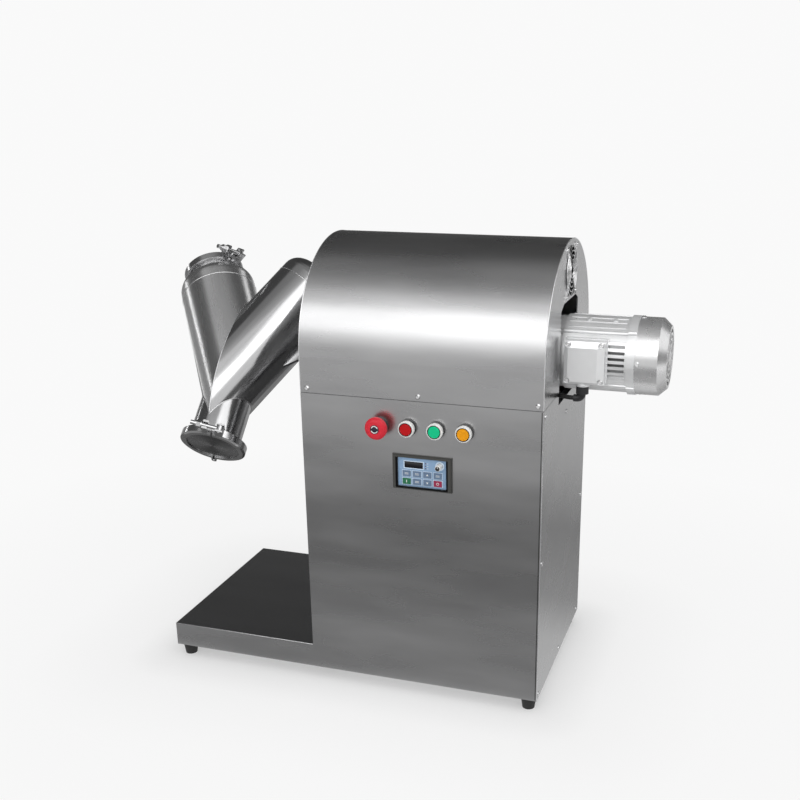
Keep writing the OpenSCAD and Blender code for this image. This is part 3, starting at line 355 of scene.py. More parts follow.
def curve_points(middle, start, end, towards):
    """Points on an arc round a middle; start and end are angles from one direction to another."""
    first, second = Vector(towards[0]), Vector(towards[1])
    steps = round(abs(end - start) / STEP)
    made = []
    for i in range(1, steps + 1):
        angle = math.radians(start + (end - start) * i / steps)
        made.append(Vector(middle) + BEND * (math.cos(angle) * first + math.sin(angle) * second))
    return made


X, Y, Z = (1, 0, 0), (0, 1, 0), (0, 0, 1)
side, along = BEND * (1 - math.cos(math.radians(45))), BEND * math.sin(math.radians(45))
LEAD_Z, GLAND_Y, RUN_Y, DRIVE_X, DRIVE_Y = 572.5, -77.5, -22.0, -215.0, -90.0
slant = RUN_Y - GLAND_Y - 2 * side
route = [Vector((32, GLAND_Y, LEAD_Z)), Vector((25, GLAND_Y, LEAD_Z))]
route += curve_points((25, GLAND_Y + BEND, LEAD_Z), -90, -135, (X, Y))
route += [route[-1] + Vector((-slant / 2, slant / 2, 0)), route[-1] + Vector((-slant, slant, 0))]
route += curve_points((route[-1].x - along, RUN_Y - BEND, LEAD_Z), 45, 90, (X, Y))
route += [Vector((-120, RUN_Y, LEAD_Z)), Vector((DRIVE_X + BEND, RUN_Y, LEAD_Z))]
route += curve_points((DRIVE_X + BEND, RUN_Y - BEND, LEAD_Z), 90, 180, (X, Y))
route += [Vector((DRIVE_X, DRIVE_Y + BEND, LEAD_Z))]
route += curve_points((DRIVE_X, DRIVE_Y + BEND, LEAD_Z - BEND), 90, 180, (Y, Z))
route += [Vector((DRIVE_X, DRIVE_Y, 505)), Vector((DRIVE_X, DRIVE_Y, 469))]

lead_line = bpy.data.curves.new("motor_lead", "CURVE")
lead_line.dimensions = "3D"
lead_line.bevel_depth = 1.0
lead_line.bevel_resolution = 8
lead_line.use_fill_caps = True
thread = lead_line.splines.new("POLY")
thread.points.add(len(route) - 1)
for point, spot in zip(thread.points, route):
    point.co = (*at(*spot), 1.0)
    point.radius = LEAD_R * MM
thread.use_smooth = True
motor_lead = new_object("motor_lead", lead_line)
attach(motor_lead, "cabinet")
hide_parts("motor_cable")

# %% [markdown]
# ## A shared effect: brushed steel grain
#
# The cabinet's sheets were brushed in one direction at the mill. Brushing leaves thousands of
# fine scratches, and wiping leaves broad cloudy patches. A node group makes both from noise. The
# grain is stretched along one axis, so the group takes its place from a Mapping node in each
# material. It puts out a value for colour, one for roughness and a height for a Bump node: thin
# sheet is never quite flat, and its slow waves bend the reflections.

# %% Make the brushed grain group
def new_group(name, **inputs):
    """An empty node group that puts out three values; inputs are numbers, or None for a vector."""
    made = bpy.data.node_groups.new(name, "ShaderNodeTree")
    add_socket = made.interface.new_socket
    for label, default in inputs.items():
        if default is None:
            add_socket(label, in_out="INPUT", socket_type="NodeSocketVector")
        else:
            add_socket(label, in_out="INPUT", socket_type="NodeSocketFloat").default_value = default
    for label in ("Tone", "Rough", "Height"):
        add_socket(label, in_out="OUTPUT", socket_type="NodeSocketFloat")
    return made, made.nodes.new("NodeGroupInput"), made.nodes.new("NodeGroupOutput")


grain_group, given, put = new_group("brushed_grain", Place=None, Clouds=0.1)
tree = grain_group
drawn_out = mapped(tree, {"Scale": (0.28, 1.0, 1.3)})
fine = add_node(tree, "TexNoise", {"Scale": 1500.0, "Detail": 2.0, "Roughness": 0.6})
broad = add_node(tree, "TexNoise", {"Scale": 11.0, "Detail": 3.0, "Roughness": 0.5})
slow = add_node(tree, "TexNoise", {"Scale": 9.0, "Detail": 0.0})
cloud_tone = add_node(tree, "MapRange", {1: 0.3, 2: 0.7, 3: -1.0, 4: 1.0})
cloud_part = add_node(tree, "Math", operation="MULTIPLY")
grain_tone = add_node(tree, "MapRange", {1: 0.3, 2: 0.7, 3: -0.004, 4: 0.004})
both = add_node(tree, "Math", operation="ADD")
tone = add_node(tree, "Math", {1: 1.0}, operation="ADD")
rough = add_node(tree, "Math", {1: 0.25}, operation="MULTIPLY")
wire(tree, given, "Place", fine, "Vector")
chain(tree, drawn_out, broad, cloud_tone, cloud_part)
chain(tree, drawn_out, slow)
wire(tree, given, "Clouds", cloud_part, 1)
chain(tree, fine, grain_tone, both, tone)
wire(tree, cloud_part, 0, both, 1)
chain(tree, both, rough)
wire(tree, tone, 0, put, "Tone")
wire(tree, rough, 0, put, "Rough")
wire(tree, slow, 0, put, "Height")
print("group:", grain_group.name)

# %% [markdown]
# ## Stainless sheet
#
# The same stainless sheet is used on the whole cabinet. Only the brushing direction changes: along
# X on the front, the back and the hood, and along Y on the end walls. The grain group varies the
# colour and the roughness, and a Bump node lets the sheet's slow waves draw out the reflections.

# %% Make the brushed steel finishes
def principled(name, colour, metallic=0.0, roughness=0.5, **sockets):
    """A new material with a Principled shader; returns material, tree and shader."""
    made = bpy.data.materials.new(name)
    made.use_nodes = True
    tree = made.node_tree
    shader = tree.nodes["Principled BSDF"]
    shader.inputs["Base Color"].default_value = (*colour, 1.0)
    shader.inputs["Metallic"].default_value = metallic
    shader.inputs["Roughness"].default_value = roughness
    for key, value in sockets.items():
        shader.inputs[key.replace("_", " ")].default_value = value
    return made, tree, shader


def skinned(tree, shader, colour, source, roughness, bump, depth):
    """Feeds a group's tone, roughness and height into a Principled shader."""
    mixer = add_node(tree, "Mix", {0: 1.0, 6: (*colour, 1.0)}, data_type="RGBA",
                     blend_type="MULTIPLY")
    wire(tree, source, "Tone", mixer, 7)
    wire(tree, mixer, 2, shader, "Base Color")
    rough = add_node(tree, "Math", {1: roughness}, operation="ADD", use_clamp=True)
    wire(tree, source, "Rough", rough, 0)
    wire(tree, rough, 0, shader, "Roughness")
    lift = add_node(tree, "Bump", {"Strength": bump, "Distance": depth})
    wire(tree, source, "Height", lift, "Height")
    wire(tree, lift, 0, shader, "Normal")


def brushed(name, colour, stretch, roughness, clouds=0.12, bump=0.34):
    """Brushed metal; stretch is the scale of the scratch noise along X, Y and Z."""
    made, tree, shader = principled(name, colour, 1.0, roughness)
    grain = add_node(tree, "Group", {"Clouds": clouds}, node_tree=grain_group)
    wire(tree, mapped(tree, {"Scale": stretch}), 0, grain, "Place")
    skinned(tree, shader, colour, grain, roughness, bump, 0.004)
    return made


def dress(material, *names):
    """Gives CAD nodes one material."""
    for name in names:
        mesh = nodes[name].data
        mesh.materials.clear()
        mesh.materials.append(material)


STEEL = (0.55, 0.55, 0.555)
ALONG_X = (0.006, 1.0, 1.0)
ALONG_Y = (1.0, 0.006, 1.0)

sheet_x = brushed("steel_brushed_along_x", STEEL, ALONG_X, 0.28)
sheet_y = brushed("steel_brushed_along_y", STEEL, ALONG_Y, 0.27, clouds=0.05, bump=0.06)
dress(sheet_x, "front_panel", "back_panel", "hood", "floor_plates")
dress(sheet_y, "right_panel", "hood_end")
base_steel = brushed("steel_base_plate", (0.44, 0.44, 0.445), ALONG_X, 0.20,
                     clouds=0.04, bump=0.05)
dress(base_steel, "base_sheet")
print("sheets dressed")

# %% [markdown]
# ## Edges of the base sheet
#
# A deburred edge is never sharp: it has a small round that catches the light as a thin bright line.
# The solids have sharp edges, so two live modifiers are hung on the folded base sheet: a Weld that
# joins the loose triangles, and a Bevel that rounds only the sharp edges. Hardened normals keep the
# wide faces flat beside the rounds.

# %% Round the base sheet's edges
def ease_edges(piece, width, angle):
    """Adds a Bevel of two segments on edges that are sharper than an angle in degrees."""
    ease = piece.modifiers.new("ease", "BEVEL")
    ease.width = width
    ease.segments = 2
    ease.limit_method = "ANGLE"
    ease.angle_limit = math.radians(angle)
    return ease


join = nodes["base_sheet"].modifiers.new("join", "WELD")
join.merge_threshold = 0.00001
ease_edges(nodes["base_sheet"], 0.0007, 50).harden_normals = True
print("edges rounded on the base sheet")

# %% [markdown]
# ## Polished vessel
#
# The V, its spout, the lids and the clamps are polished stainless steel. Polish is never perfect:
# the tubes carry faint wiping marks and slow waves from rolling and welding, which bend the
# reflections into long streaks. A second group makes these: a soft noise for the height of the
# waves, and a finer one for the smudges in colour and roughness. The two arms are one steel, but
# the left arm's colour is lighter, which is painted light, and the right arm's is darker, which is
# painted shade. The lids were faced on a lathe, and the light and dark sectors that a turned face
# shows are painted sheen: a radial gradient round the spout's axis paints them into the colour.

# %% Make the polish group and the polished finishes
polish_group, given, put = new_group("polished_skin", Place=None, Smudge=0.08)
tree = polish_group
waves = add_node(tree, "TexNoise", {"Scale": 14.0, "Detail": 2.0, "Roughness": 0.4})
wipes = add_node(tree, "TexNoise", {"Scale": 45.0, "Detail": 3.0, "Roughness": 0.5})
smear = add_node(tree, "MapRange", {1: 0.35, 2: 0.75, 3: 0.0, 4: 1.0})
smear_part = add_node(tree, "Math", operation="MULTIPLY")
shine = add_node(tree, "MapRange", {1: 0.0, 2: 1.0, 3: 1.06, 4: 0.84})
wire(tree, given, "Place", waves, "Vector")
wire(tree, given, "Place", wipes, "Vector")
chain(tree, wipes, smear, smear_part)
chain(tree, smear, shine)
wire(tree, given, "Smudge", smear_part, 1)
wire(tree, shine, 0, put, "Tone")
wire(tree, smear_part, 0, put, "Rough")
wire(tree, waves, 0, put, "Height")


def polished(name, colour, roughness, smudge=0.08, wave=0.05, tilt=0.0, stretch=1.0):
    """Polished metal with slow waves and wiping marks; tilt and stretch lay them along an arm."""
    made, tree, shader = principled(name, colour, 1.0, roughness)
    turn = (Matrix.Rotation(LEAN, 3, "X") @ Matrix.Rotation(tilt, 3, "Y")).to_euler()
    values = {"Rotation": turn, "Scale": (1.0, 1.0, stretch)}
    skin = add_node(tree, "Group", {"Smudge": smudge}, node_tree=polish_group)
    wire(tree, mapped(tree, values, vector_type="TEXTURE"), 0, skin, "Place")
    skinned(tree, shader, colour, skin, roughness, wave, 0.008)
    return made


# Painted light and shade: the left arm's steel is lighter and the right arm's darker than one steel
# would be.
left_arm_steel_painted_light = polished("steel_polished_left_arm_painted_light", (0.92, 0.92, 0.925), 0.23, 0.08, 0.03, -VEE, 8.0)
right_arm_steel_painted_shade = polished("steel_polished_right_arm_painted_shade", (0.54, 0.54, 0.545), 0.12, 0.05, 0.015, VEE, 9.0)
spout_steel = polished("steel_polished_spout", (0.60, 0.60, 0.605), 0.15, 0.06, 0.02, 0.0, 4.0)
clamp_steel = polished("steel_polished_casting", (0.70, 0.70, 0.705), 0.16, 0.12, 0.02)
lid_steel_painted_sheen = polished("steel_turned_lid_painted_sheen", (0.36, 0.36, 0.365), 0.24, 0.10, 0.0)
bright_wire = polished("bright_steel", (0.90, 0.90, 0.905), 0.18, 0.08, 0.0)
dress(left_arm_steel_painted_light, "arm_left")
dress(right_arm_steel_painted_shade, "arm_right", "hub")
dress(spout_steel, "spout")
dress(clamp_steel, "clamps", "clamp_pins", "bolt_arm", "bolt_spout")


def seen_from(tree, frame_matrix):
    """A Mapping node that gives Object coordinates as seen from a frame of its own."""
    values = {"Location": frame_matrix.translation, "Rotation": frame_matrix.to_euler()}
    return mapped(tree, values, vector_type="TEXTURE")


def shade_by(material, value):
    """Multiplies a material's colour by a value node."""
    tree = material.node_tree
    shader = tree.nodes["Principled BSDF"]
    lit = add_node(tree, "Mix", {0: 1.0}, data_type="RGBA", blend_type="MULTIPLY")
    tree.links.new(shader.inputs["Base Color"].links[0].from_socket, lit.inputs[6])
    wire(tree, value, 0, lit, 7)
    wire(tree, lit, 2, shader, "Base Color")


# Painted sheen: the sine of the angle round the spout's axis makes the lids' colour lighter and
# darker in sectors.
tree = lid_steel_painted_sheen.node_tree
painted_sheen_sector = add_node(tree, "TexGradient", gradient_type="RADIAL")
angle = add_node(tree, "Math", {1: 4 * math.pi, 2: 0.6}, operation="MULTIPLY_ADD")
sheen_swell = add_node(tree, "Math", operation="SINE")
shade = add_node(tree, "MapRange", {1: -1.0, 2: 1.0, 3: 0.55, 4: 1.45})
chain(tree, seen_from(tree, vessel), painted_sheen_sector)
wire(tree, painted_sheen_sector, "Fac", angle, 0)
chain(tree, angle, sheen_swell, shade)
shade_by(lid_steel_painted_sheen, shade)
dress(lid_steel_painted_sheen, "lids")
dress(bright_wire, "fan_guard", "panel_screws", "small_screws", "deck_bolts")
print("vessel dressed")

# %% [markdown]
# ## Turned steel, castings and paint
#
# Shafts and bearing rings are turned on a lathe, so their scratches run round the axis. The gear
# unit and the bearing housings are castings with a pebbly painted skin, and the motor is die-cast
# aluminium under silver paint. One group makes the skin of castings and moulded plastic: a fine bump,
# broad colour changes, and some dust in the roughness.

# %% Make the moulded skin group
skin_group, given, put = new_group("moulded_skin", Grit=400.0, Dust=0.10)
tree = skin_group
place = add_node(tree, "TexCoord")
grit = add_node(tree, "TexNoise", {"Detail": 3.0, "Roughness": 0.6})
drift = add_node(tree, "TexNoise", {"Scale": 25.0, "Detail": 5.0, "Roughness": 0.6})
dust = add_node(tree, "MapRange", {1: 0.3, 2: 0.7, 3: -1.0, 4: 1.0})
dust_part = add_node(tree, "Math", operation="MULTIPLY")
shade = add_node(tree, "Math", {1: 0.6, 2: 1.0}, operation="MULTIPLY_ADD")
wire(tree, place, "Object", grit, "Vector")
wire(tree, given, "Grit", grit, "Scale")
wire(tree, place, "Object", drift, "Vector")
chain(tree, drift, dust, dust_part, shade)
wire(tree, given, "Dust", dust_part, 1)
wire(tree, shade, 0, put, "Tone")
wire(tree, dust_part, 0, put, "Rough")
wire(tree, grit, 0, put, "Height")


def moulded(name, colour, roughness, metallic=0.0, grit=400.0, dust=0.10, bump=0.08, **sockets):
    """Moulded, cast or painted skin."""
    made, tree, shader = principled(name, colour, metallic, roughness, **sockets)
    skin = add_node(tree, "Group", {"Grit": grit, "Dust": dust}, node_tree=skin_group)
    skinned(tree, shader, colour, skin, roughness, bump, 0.0005)
    return made


# %% Dress the drive and the motor
turned = brushed("steel_turned", (0.62, 0.62, 0.63), (1.0, 0.2, 0.2), 0.24,
                 clouds=0.07, bump=0.0)
dress(turned, "main_shaft", "bearing_rings", "gear_shaft")
frame_paint = moulded("frame_paint", (0.16, 0.165, 0.17), 0.45, dust=0.12)
dress(frame_paint, "frame", "deck")
casting = moulded("cast_iron_paint", (0.12, 0.14, 0.17), 0.5, grit=260.0, bump=0.3)
dress(casting, "bearing_housings", "gear_housing", "shaft_coupling")
SILVER = (0.90, 0.905, 0.91)
motor_paint = moulded("motor_silver_paint", SILVER, 0.32, 0.50, 320.0, 0.05, 0.03)
dress(motor_paint, "motor_shields", "terminal_box", "terminal_lid")
cowl_paint = moulded("motor_cowl_paint", (0.84, 0.84, 0.845), 0.27, 0.80, 320.0, 0.05, 0.03)
dress(cowl_paint, "fan_cowl")

# %% [markdown]
# Shade falls between the motor's cooling ribs, and some dust gathers there. The body gets a paint of
# its own with that shade and dust painted in: it is darker where the surface lies nearer to the
# motor's axis than the rib tops do.

# %% Paint shade into the grooves of the motor body
groove_shade_paint = moulded("motor_paint_groove_shade", SILVER, 0.32, 0.50, 320.0, 0.05, 0.03)
tree = groove_shade_paint.node_tree
across = add_node(tree, "VectorMath", {1: (0.0, 1.0, 1.0)}, operation="MULTIPLY")
reach = add_node(tree, "VectorMath", operation="LENGTH")
# Painted shade: the colour falls to 0.16 of itself at the groove floors and is full at the rib tops.
depth = add_node(tree, "MapRange", {1: 58.0 * MM, 2: 65.5 * MM, 3: 0.16, 4: 1.0})
chain(tree, seen_from(tree, Matrix.Translation(at(0, 0, AXIS_Z))), across, reach)
wire(tree, reach, "Value", depth, 0)
shade_by(groove_shade_paint, depth)
dress(groove_shade_paint, "motor_body")
print("drive dressed")

# %% [markdown]
# ## Rubber and plastics
#
# Feet and the motor lead are black rubber. The fan, the glands and the keypad's frame are black
# plastic with a fine eroded skin. Buttons are glossy. A clear coat gives the gloss a second, sharp
# highlight, and its weight is a plain number on the shader. Finishes that differ only in their values
# are rows of one table: name, colour, roughness, settings and the nodes that wear them.

# %% Dress rubber and plastic nodes
rubber = moulded("black_rubber", (0.018, 0.018, 0.018), 0.62, grit=600.0, bump=0.15)
dress(rubber, "feet", "motor_cable")
lead_line.materials.append(rubber)
black = moulded("black_plastic", (0.022, 0.022, 0.024), 0.42, grit=900.0)
dress(black, "cable_glands", "fan_frame", "fan_rotor", "stop_collar", "motor_fan", "stop_stem")
FINE = {"grit": 1200.0, "bump": 0.03}
FILM = {**FINE, "dust": 0.05, "Specular_IOR_Level": 0.25}
SMOOTH = {"dust": 0.04, "bump": 0.02}
COATED = {**SMOOTH, "Coat_Weight": 0.3}
GLOSS = {**SMOOTH, "Coat_Weight": 0.06, "Specular_IOR_Level": 0.22}
plain_keys = ["key_%d" % i for i in (1, 2, 3, 4, 6, 7)]
for name, colour, roughness, settings, worn_by in (
    ("keypad_frame_plastic", (0.060, 0.060, 0.056), 0.48, {"grit": 900.0}, ["keypad_frame"]),
    ("switch_plastic", (0.30, 0.31, 0.33), 0.5, {}, ["contact_blocks", "drive_body"]),
    ("white_plastic", (0.86, 0.86, 0.84), 0.28, COATED, ["button_bezels", "knob"]),
    ("keypad_film", (0.27, 0.41, 0.60), 0.45, FILM, ["keypad_face"]),
    ("key_film", (0.15, 0.22, 0.33), 0.45, FILM, plain_keys),
    ("key_green", (0.014, 0.17, 0.075), 0.42, FINE, ["key_5"]),
    ("key_red", (0.36, 0.018, 0.075), 0.42, FINE, ["key_8"]),
    ("stop_red", (0.70, 0.026, 0.045), 0.34, GLOSS, ["stop_head"]),
    ("cap_red", (0.52, 0.003, 0.006), 0.30, GLOSS, ["cap_red"]),
    ("cap_green", (0.001, 0.58, 0.26), 0.30, GLOSS, ["cap_green"]),
    ("cap_orange", (0.88, 0.35, 0.001), 0.30, GLOSS, ["cap_orange"]),
    ("white_silicone", (0.72, 0.72, 0.70), 0.45, {"bump": 0.05}, ["gaskets"]),
):
    dress(moulded(name, colour, roughness, **settings), *worn_by)
print("plastics dressed")

# %% [markdown]
# ## Modelling by operators
#
# New pieces are modelled as by hand: a primitive is added at its size, its faces or edges are picked
# by their place, and extrude, inset and bevel operators shape them. `begin` adds the primitive with
# nothing else selected, `pick` selects by place in edit mode, and `settle` moves the finished piece
# to its place, puts that place into the mesh and hangs the piece on a body. What repeats is modelled
# once, and `in_copies` gives each further one a mesh of its own. `raise_all` and `close_up` are the
# two steps that most flat pieces share, and `bead` makes a round bead from a chain of edges.

# %% Helpers for modelling
def begin(add, name, **sizes):
    """Adds a primitive as the only selected object and names it."""
    bpy.ops.object.select_all(action="DESELECT")
    add(**sizes)
    piece = bpy.context.object
    piece.name = name
    piece.data.name = name
    return piece


def mode(name):
    """Enters edit mode or object mode."""
    bpy.ops.object.mode_set(mode=name)


def pick(piece, kind, test):
    """In edit mode, selects the vertices, edges or faces whose middle passes a test."""
    bpy.ops.mesh.select_mode(type=kind)
    bpy.ops.mesh.select_all(action="DESELECT")
    shape = bmesh.from_edit_mesh(piece.data)
    if kind == "VERT":
        rows = [(v, v.co) for v in shape.verts]
    elif kind == "EDGE":
        rows = [(e, (e.verts[0].co + e.verts[1].co) / 2) for e in shape.edges]
    else:
        rows = [(f, f.calc_center_median()) for f in shape.faces]
    for row, middle in rows:
        row.select_set(bool(test(middle)))
    shape.select_flush_mode()
    bmesh.update_edit_mesh(piece.data)


def numbered(stem, count):
    """Names with a number from 1 up."""
    return ["%s_%d" % (stem, i + 1) for i in range(count)]


def in_copies(piece, names):
    """Names a finished shape, and adds a copy with its own mesh for each further name."""
    row = [piece] + [piece.copy() for _ in names[1:]]
    for twin, name in zip(row, names):
        if twin is not piece:
            twin.data = piece.data.copy()
            scene.collection.objects.link(twin)
        twin.name = twin.data.name = name
    return row


def settle(piece, place, material, body, smooth=35):
    """Puts a finished piece in its place, with its material, on a body."""
    bpy.ops.object.select_all(action="DESELECT")
    piece.select_set(True)
    bpy.context.view_layer.objects.active = piece
    piece.matrix_world = place
    bpy.ops.object.transform_apply(location=True, rotation=True, scale=True)
    bpy.ops.object.shade_smooth_by_angle(angle=math.radians(smooth))
    piece.data.materials.clear()
    piece.data.materials.append(material)
    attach(piece, body)


def raise_all(height):
    """In edit mode, extrudes the whole flat shape along its own Z."""
    bpy.ops.mesh.select_all(action="SELECT")
    bpy.ops.mesh.extrude_region_move(TRANSFORM_OT_translate={"value": (0, 0, height)})


def close_up():
    """Turns all faces outwards and leaves edit mode."""
    bpy.ops.mesh.select_all(action="SELECT")
    bpy.ops.mesh.normals_make_consistent(inside=False)
    mode("OBJECT")


def bead(piece, radius):
    """Turns a chain of edges into a round bead: edges to curve, bevel, and back to a mesh."""
    bpy.context.view_layer.objects.active = piece
    bpy.ops.object.convert(target="CURVE")
    line = bpy.context.object
    line.data.bevel_depth = radius
    line.data.bevel_resolution = 2
    line.data.use_fill_caps = True
    bpy.ops.object.convert(target="MESH")
    return bpy.context.object


# %% [markdown]
# ## Weld seams of the vessel
#
# Each arm is a rolled tube with a pressed end, and the joint between them is a fine ground weld: a
# bright ring round the arm. A torus gives the ring, and pressing in every third section gives the
# ripple that a weld keeps even when it is ground.

# %% Ring welds on the arms
weld_steel = brushed("weld_bead_steel", (0.90, 0.90, 0.91), (1.0, 1.0, 1.0), 0.32,
                     clouds=0.07, bump=0.0)
SECTIONS, BEAD_R, SUNK = 150, 0.0010, 0.0003
RING_AT = (0.191, 0.210)
ring = begin(bpy.ops.mesh.primitive_torus_add, "weld_ring_left", major_radius=ARM_R - SUNK,
             minor_radius=BEAD_R, major_segments=SECTIONS, minor_segments=8)
mode("EDIT")
step = 2 * math.pi / SECTIONS
pick(ring, "VERT", lambda spot: round(math.atan2(spot.y, spot.x) / step) % 3 == 0)
bpy.ops.transform.shrink_fatten(value=-0.0002)
mode("OBJECT")
rings = in_copies(ring, ["weld_ring_left", "weld_ring_right"])
for ring, tilt, distance in zip(rings, (-VEE, VEE), RING_AT):
    place = apex @ Matrix.Rotation(tilt, 4, "Y") @ Matrix.Translation((0, 0, distance))
    settle(ring, place, weld_steel, "vessel", 60)
print("ring welds done")

# %% [markdown]
# Where the two arms meet, the seam is half an ellipse in the plane between them: two equal tubes
# that cross always meet in an ellipse. A circle is stretched to it, and its lower part, which the
# spout takes away, is deleted. The seam round the spout is a saddle: a circle whose points sink as
# deep as the arms' lower side. That needs a sum for each point, so its points are moved in code.

# %% Crease and spout welds
SPOUT_TOP = -0.118
crease = begin(bpy.ops.mesh.primitive_circle_add, "weld_crease", vertices=180, radius=ARM_R)
mode("EDIT")
bpy.ops.mesh.select_all(action="SELECT")
bpy.ops.transform.resize(value=(1.0, 1.0 / math.sin(VEE), 1.0))
pick(crease, "VERT", lambda spot: spot.y < SPOUT_TOP)
bpy.ops.mesh.delete(type="VERT")
mode("OBJECT")
crease = bead(crease, BEAD_R)
upright = Matrix(((0, 0, 1, 0), (1, 0, 0, 0), (0, 1, 0, 0), (0, 0, 0, 1)))
settle(crease, apex @ upright, weld_steel, "vessel", 60)

saddle = begin(bpy.ops.mesh.primitive_circle_add, "weld_spout", vertices=120, radius=SPOUT_R)
for corner_point in saddle.data.vertices:
    x, y = corner_point.co.x, corner_point.co.y
    reach_out = math.sqrt(ARM_R ** 2 - y ** 2)
    corner_point.co.z = (abs(x) * math.cos(VEE) - reach_out) / math.sin(VEE)
saddle = bead(saddle, 0.0009)
settle(saddle, apex, weld_steel, "vessel", 60)
print("crease and spout welds done")

# %% [markdown]
# ## Ground edge of the hood
#
# The hood's end walls are welded in and the joint is ground to a small bright round. An arch gives
# its line: a circle loses its lower half, and its two open ends are extruded down to the joint.

# %% Ground edges round the hood's ends
HOOD_Z, HOOD_LEG, INSIDE = 642, 63.5, 0.7
CABINET_WIDTH = 444
arch = begin(bpy.ops.mesh.primitive_circle_add, "hood_edge_right", vertices=144,
             radius=(HALF_DEPTH - INSIDE) * MM)
mode("EDIT")
pick(arch, "VERT", lambda spot: spot.y < -0.0001)
bpy.ops.mesh.delete(type="VERT")
pick(arch, "VERT", lambda spot: spot.y < 0.0001)
bpy.ops.mesh.extrude_vertices_move(TRANSFORM_OT_translate={"value": (0, -HOOD_LEG * MM, 0)})
mode("OBJECT")
arches = in_copies(bead(arch, BEAD_R), ["hood_edge_right", "hood_edge_left"])
for arch, x in zip(arches, (-INSIDE, INSIDE - CABINET_WIDTH)):
    place = Matrix.Translation(at(x, 0, HOOD_Z)) @ upright
    settle(arch, place, weld_steel, "cabinet", 60)
print("hood edges done")

# %% [markdown]
# The front sheet's right corner and its edge over the base are deburred too. They are long and
# straight, so each gets a fine strip, a slab with bevelled edges that is turned to 45 degrees. A thin
# dark strip beside the corner is painted shadow: the shade in the joint where the side sheet's fold
# meets the front sheet.

# %% Bright edges of the front sheet
def slab(name, width, height, thick, edge):
    """A flat slab on its own XY plane with bevelled upper edges, in millimetres."""
    width, height, thick, edge = width * MM, height * MM, thick * MM, edge * MM
    piece = begin(bpy.ops.mesh.primitive_cube_add, name, size=1.0)
    piece.scale = (width, height, thick)
    piece.location = (0, 0, thick / 2)
    bpy.ops.object.transform_apply(location=True, rotation=False, scale=True)
    mode("EDIT")
    pick(piece, "EDGE", lambda spot: spot.z > thick * 0.99)
    bpy.ops.mesh.bevel(offset=edge, segments=2)
    mode("OBJECT")
    return piece


BASE_TOP, CORNER_HIGH, CORNER_MIDDLE = 71.0, 550, 301
corner_strip = slab("corner_edge", 1.3, CORNER_HIGH, 0.6, 0.2)
place = facing_front(-0.3, 0.3 - HALF_DEPTH, CORNER_MIDDLE)
turned_right = place @ Matrix.Rotation(math.radians(45), 4, "Y")
settle(corner_strip, turned_right, weld_steel, "cabinet")
left_end, right_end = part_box("base_sheet")[0].x, right_face - (CABINET_WIDTH + 0.5) * MM
base_strip = slab("base_edge", (right_end - left_end) / MM, 0.9, 0.6, 0.2)
turned_up = Matrix.Rotation(math.radians(45), 4, "X")
middle = Vector(((left_end + right_end) / 2, front_low.y + 0.3 * MM, (BASE_TOP - 0.3) * MM))
settle(base_strip, Matrix.Translation(middle) @ turned_up, weld_steel, "cabinet")
DULL = {"grit": 900.0, "bump": 0.02, "Specular_IOR_Level": 0.1}
# Painted shadow: a near-black strip lies where the corner joint is in shade.
painted_seam_shadow = moulded("seam_shadow", (0.02, 0.02, 0.02), 0.7, **DULL)
corner_seam_shadow = slab("corner_seam_shadow", 1.4, CORNER_HIGH, 0.15, 0.05)
place = facing_front(-2.8, -HALF_DEPTH, CORNER_MIDDLE)
settle(corner_seam_shadow, place, painted_seam_shadow, "cabinet")
print("edges of the front sheet done")

# %% [markdown]
# ## Emergency stop badge
#
# The mushroom head carries a dark round badge with two curved arrows that show the way to turn it
# free. The badge is a disc with a bevelled rim. An arrow is cut from a flat ring: the ring's gaps are
# deleted, and each leading edge is widened and drawn out to a point.

# %% Model the badge and its arrows
def disc(name, radius, thick, edge, sides=48):
    """A flat disc on its own XY plane with a bevelled upper rim, in millimetres."""
    radius, thick, edge = radius * MM, thick * MM, edge * MM
    piece = begin(bpy.ops.mesh.primitive_circle_add, name, vertices=sides, radius=radius,
                  fill_type="NGON")
    mode("EDIT")
    raise_all(thick)
    pick(piece, "EDGE", lambda spot: spot.z > thick * 0.99)
    bpy.ops.mesh.bevel(offset=edge, segments=2)
    close_up()
    return piece


badge_black = moulded("badge_black", (0.020, 0.020, 0.035), 0.35, grit=1200.0, **SMOOTH)
PRINTED = {"grit": 1200.0, "dust": 0.05, "bump": 0.02}
print_white = moulded("printed_white", (0.84, 0.84, 0.83), 0.40, **PRINTED)
STOP_X, STOP_FACE, BUTTON_Z = -293.0, -224.0, 529.0
badge = disc("stop_badge", 8.0, 0.5, 0.2)
place = facing_front(STOP_X, STOP_FACE, BUTTON_Z)
settle(badge, place, badge_black, "stop_mushroom")

START, SWEEP = 160, 120
INNER, WIDER = 5.2 * MM, 1.3
arrow = begin(bpy.ops.mesh.primitive_circle_add, "stop_arrow_upper", vertices=72, radius=INNER)
mode("EDIT")
pick(arrow, "VERT",
     lambda spot: (START - math.degrees(math.atan2(spot.y, spot.x))) % 360 > SWEEP + 0.1)
bpy.ops.mesh.delete(type="VERT")
bpy.ops.mesh.select_all(action="SELECT")
bpy.ops.mesh.extrude_edges_move()
bpy.ops.transform.resize(value=(WIDER, WIDER, 1.0), center_override=(0, 0, 0))
tip = math.radians(START - SWEEP)
middle = INNER * (1 + WIDER) / 2 * Vector((math.cos(tip), math.sin(tip), 0))
onward = Vector((math.sin(tip), -math.cos(tip), 0))
pick(arrow, "EDGE", lambda spot: (spot - middle).length < 0.1 * MM)
bpy.ops.mesh.extrude_edges_move()
bpy.ops.transform.resize(value=(2.2, 2.2, 1.0), center_override=middle)
bpy.ops.mesh.extrude_edges_move(TRANSFORM_OT_translate={"value": onward * 2.4 * MM})
bpy.ops.mesh.merge(type="CENTER")
raise_all(0.25 * MM)
close_up()
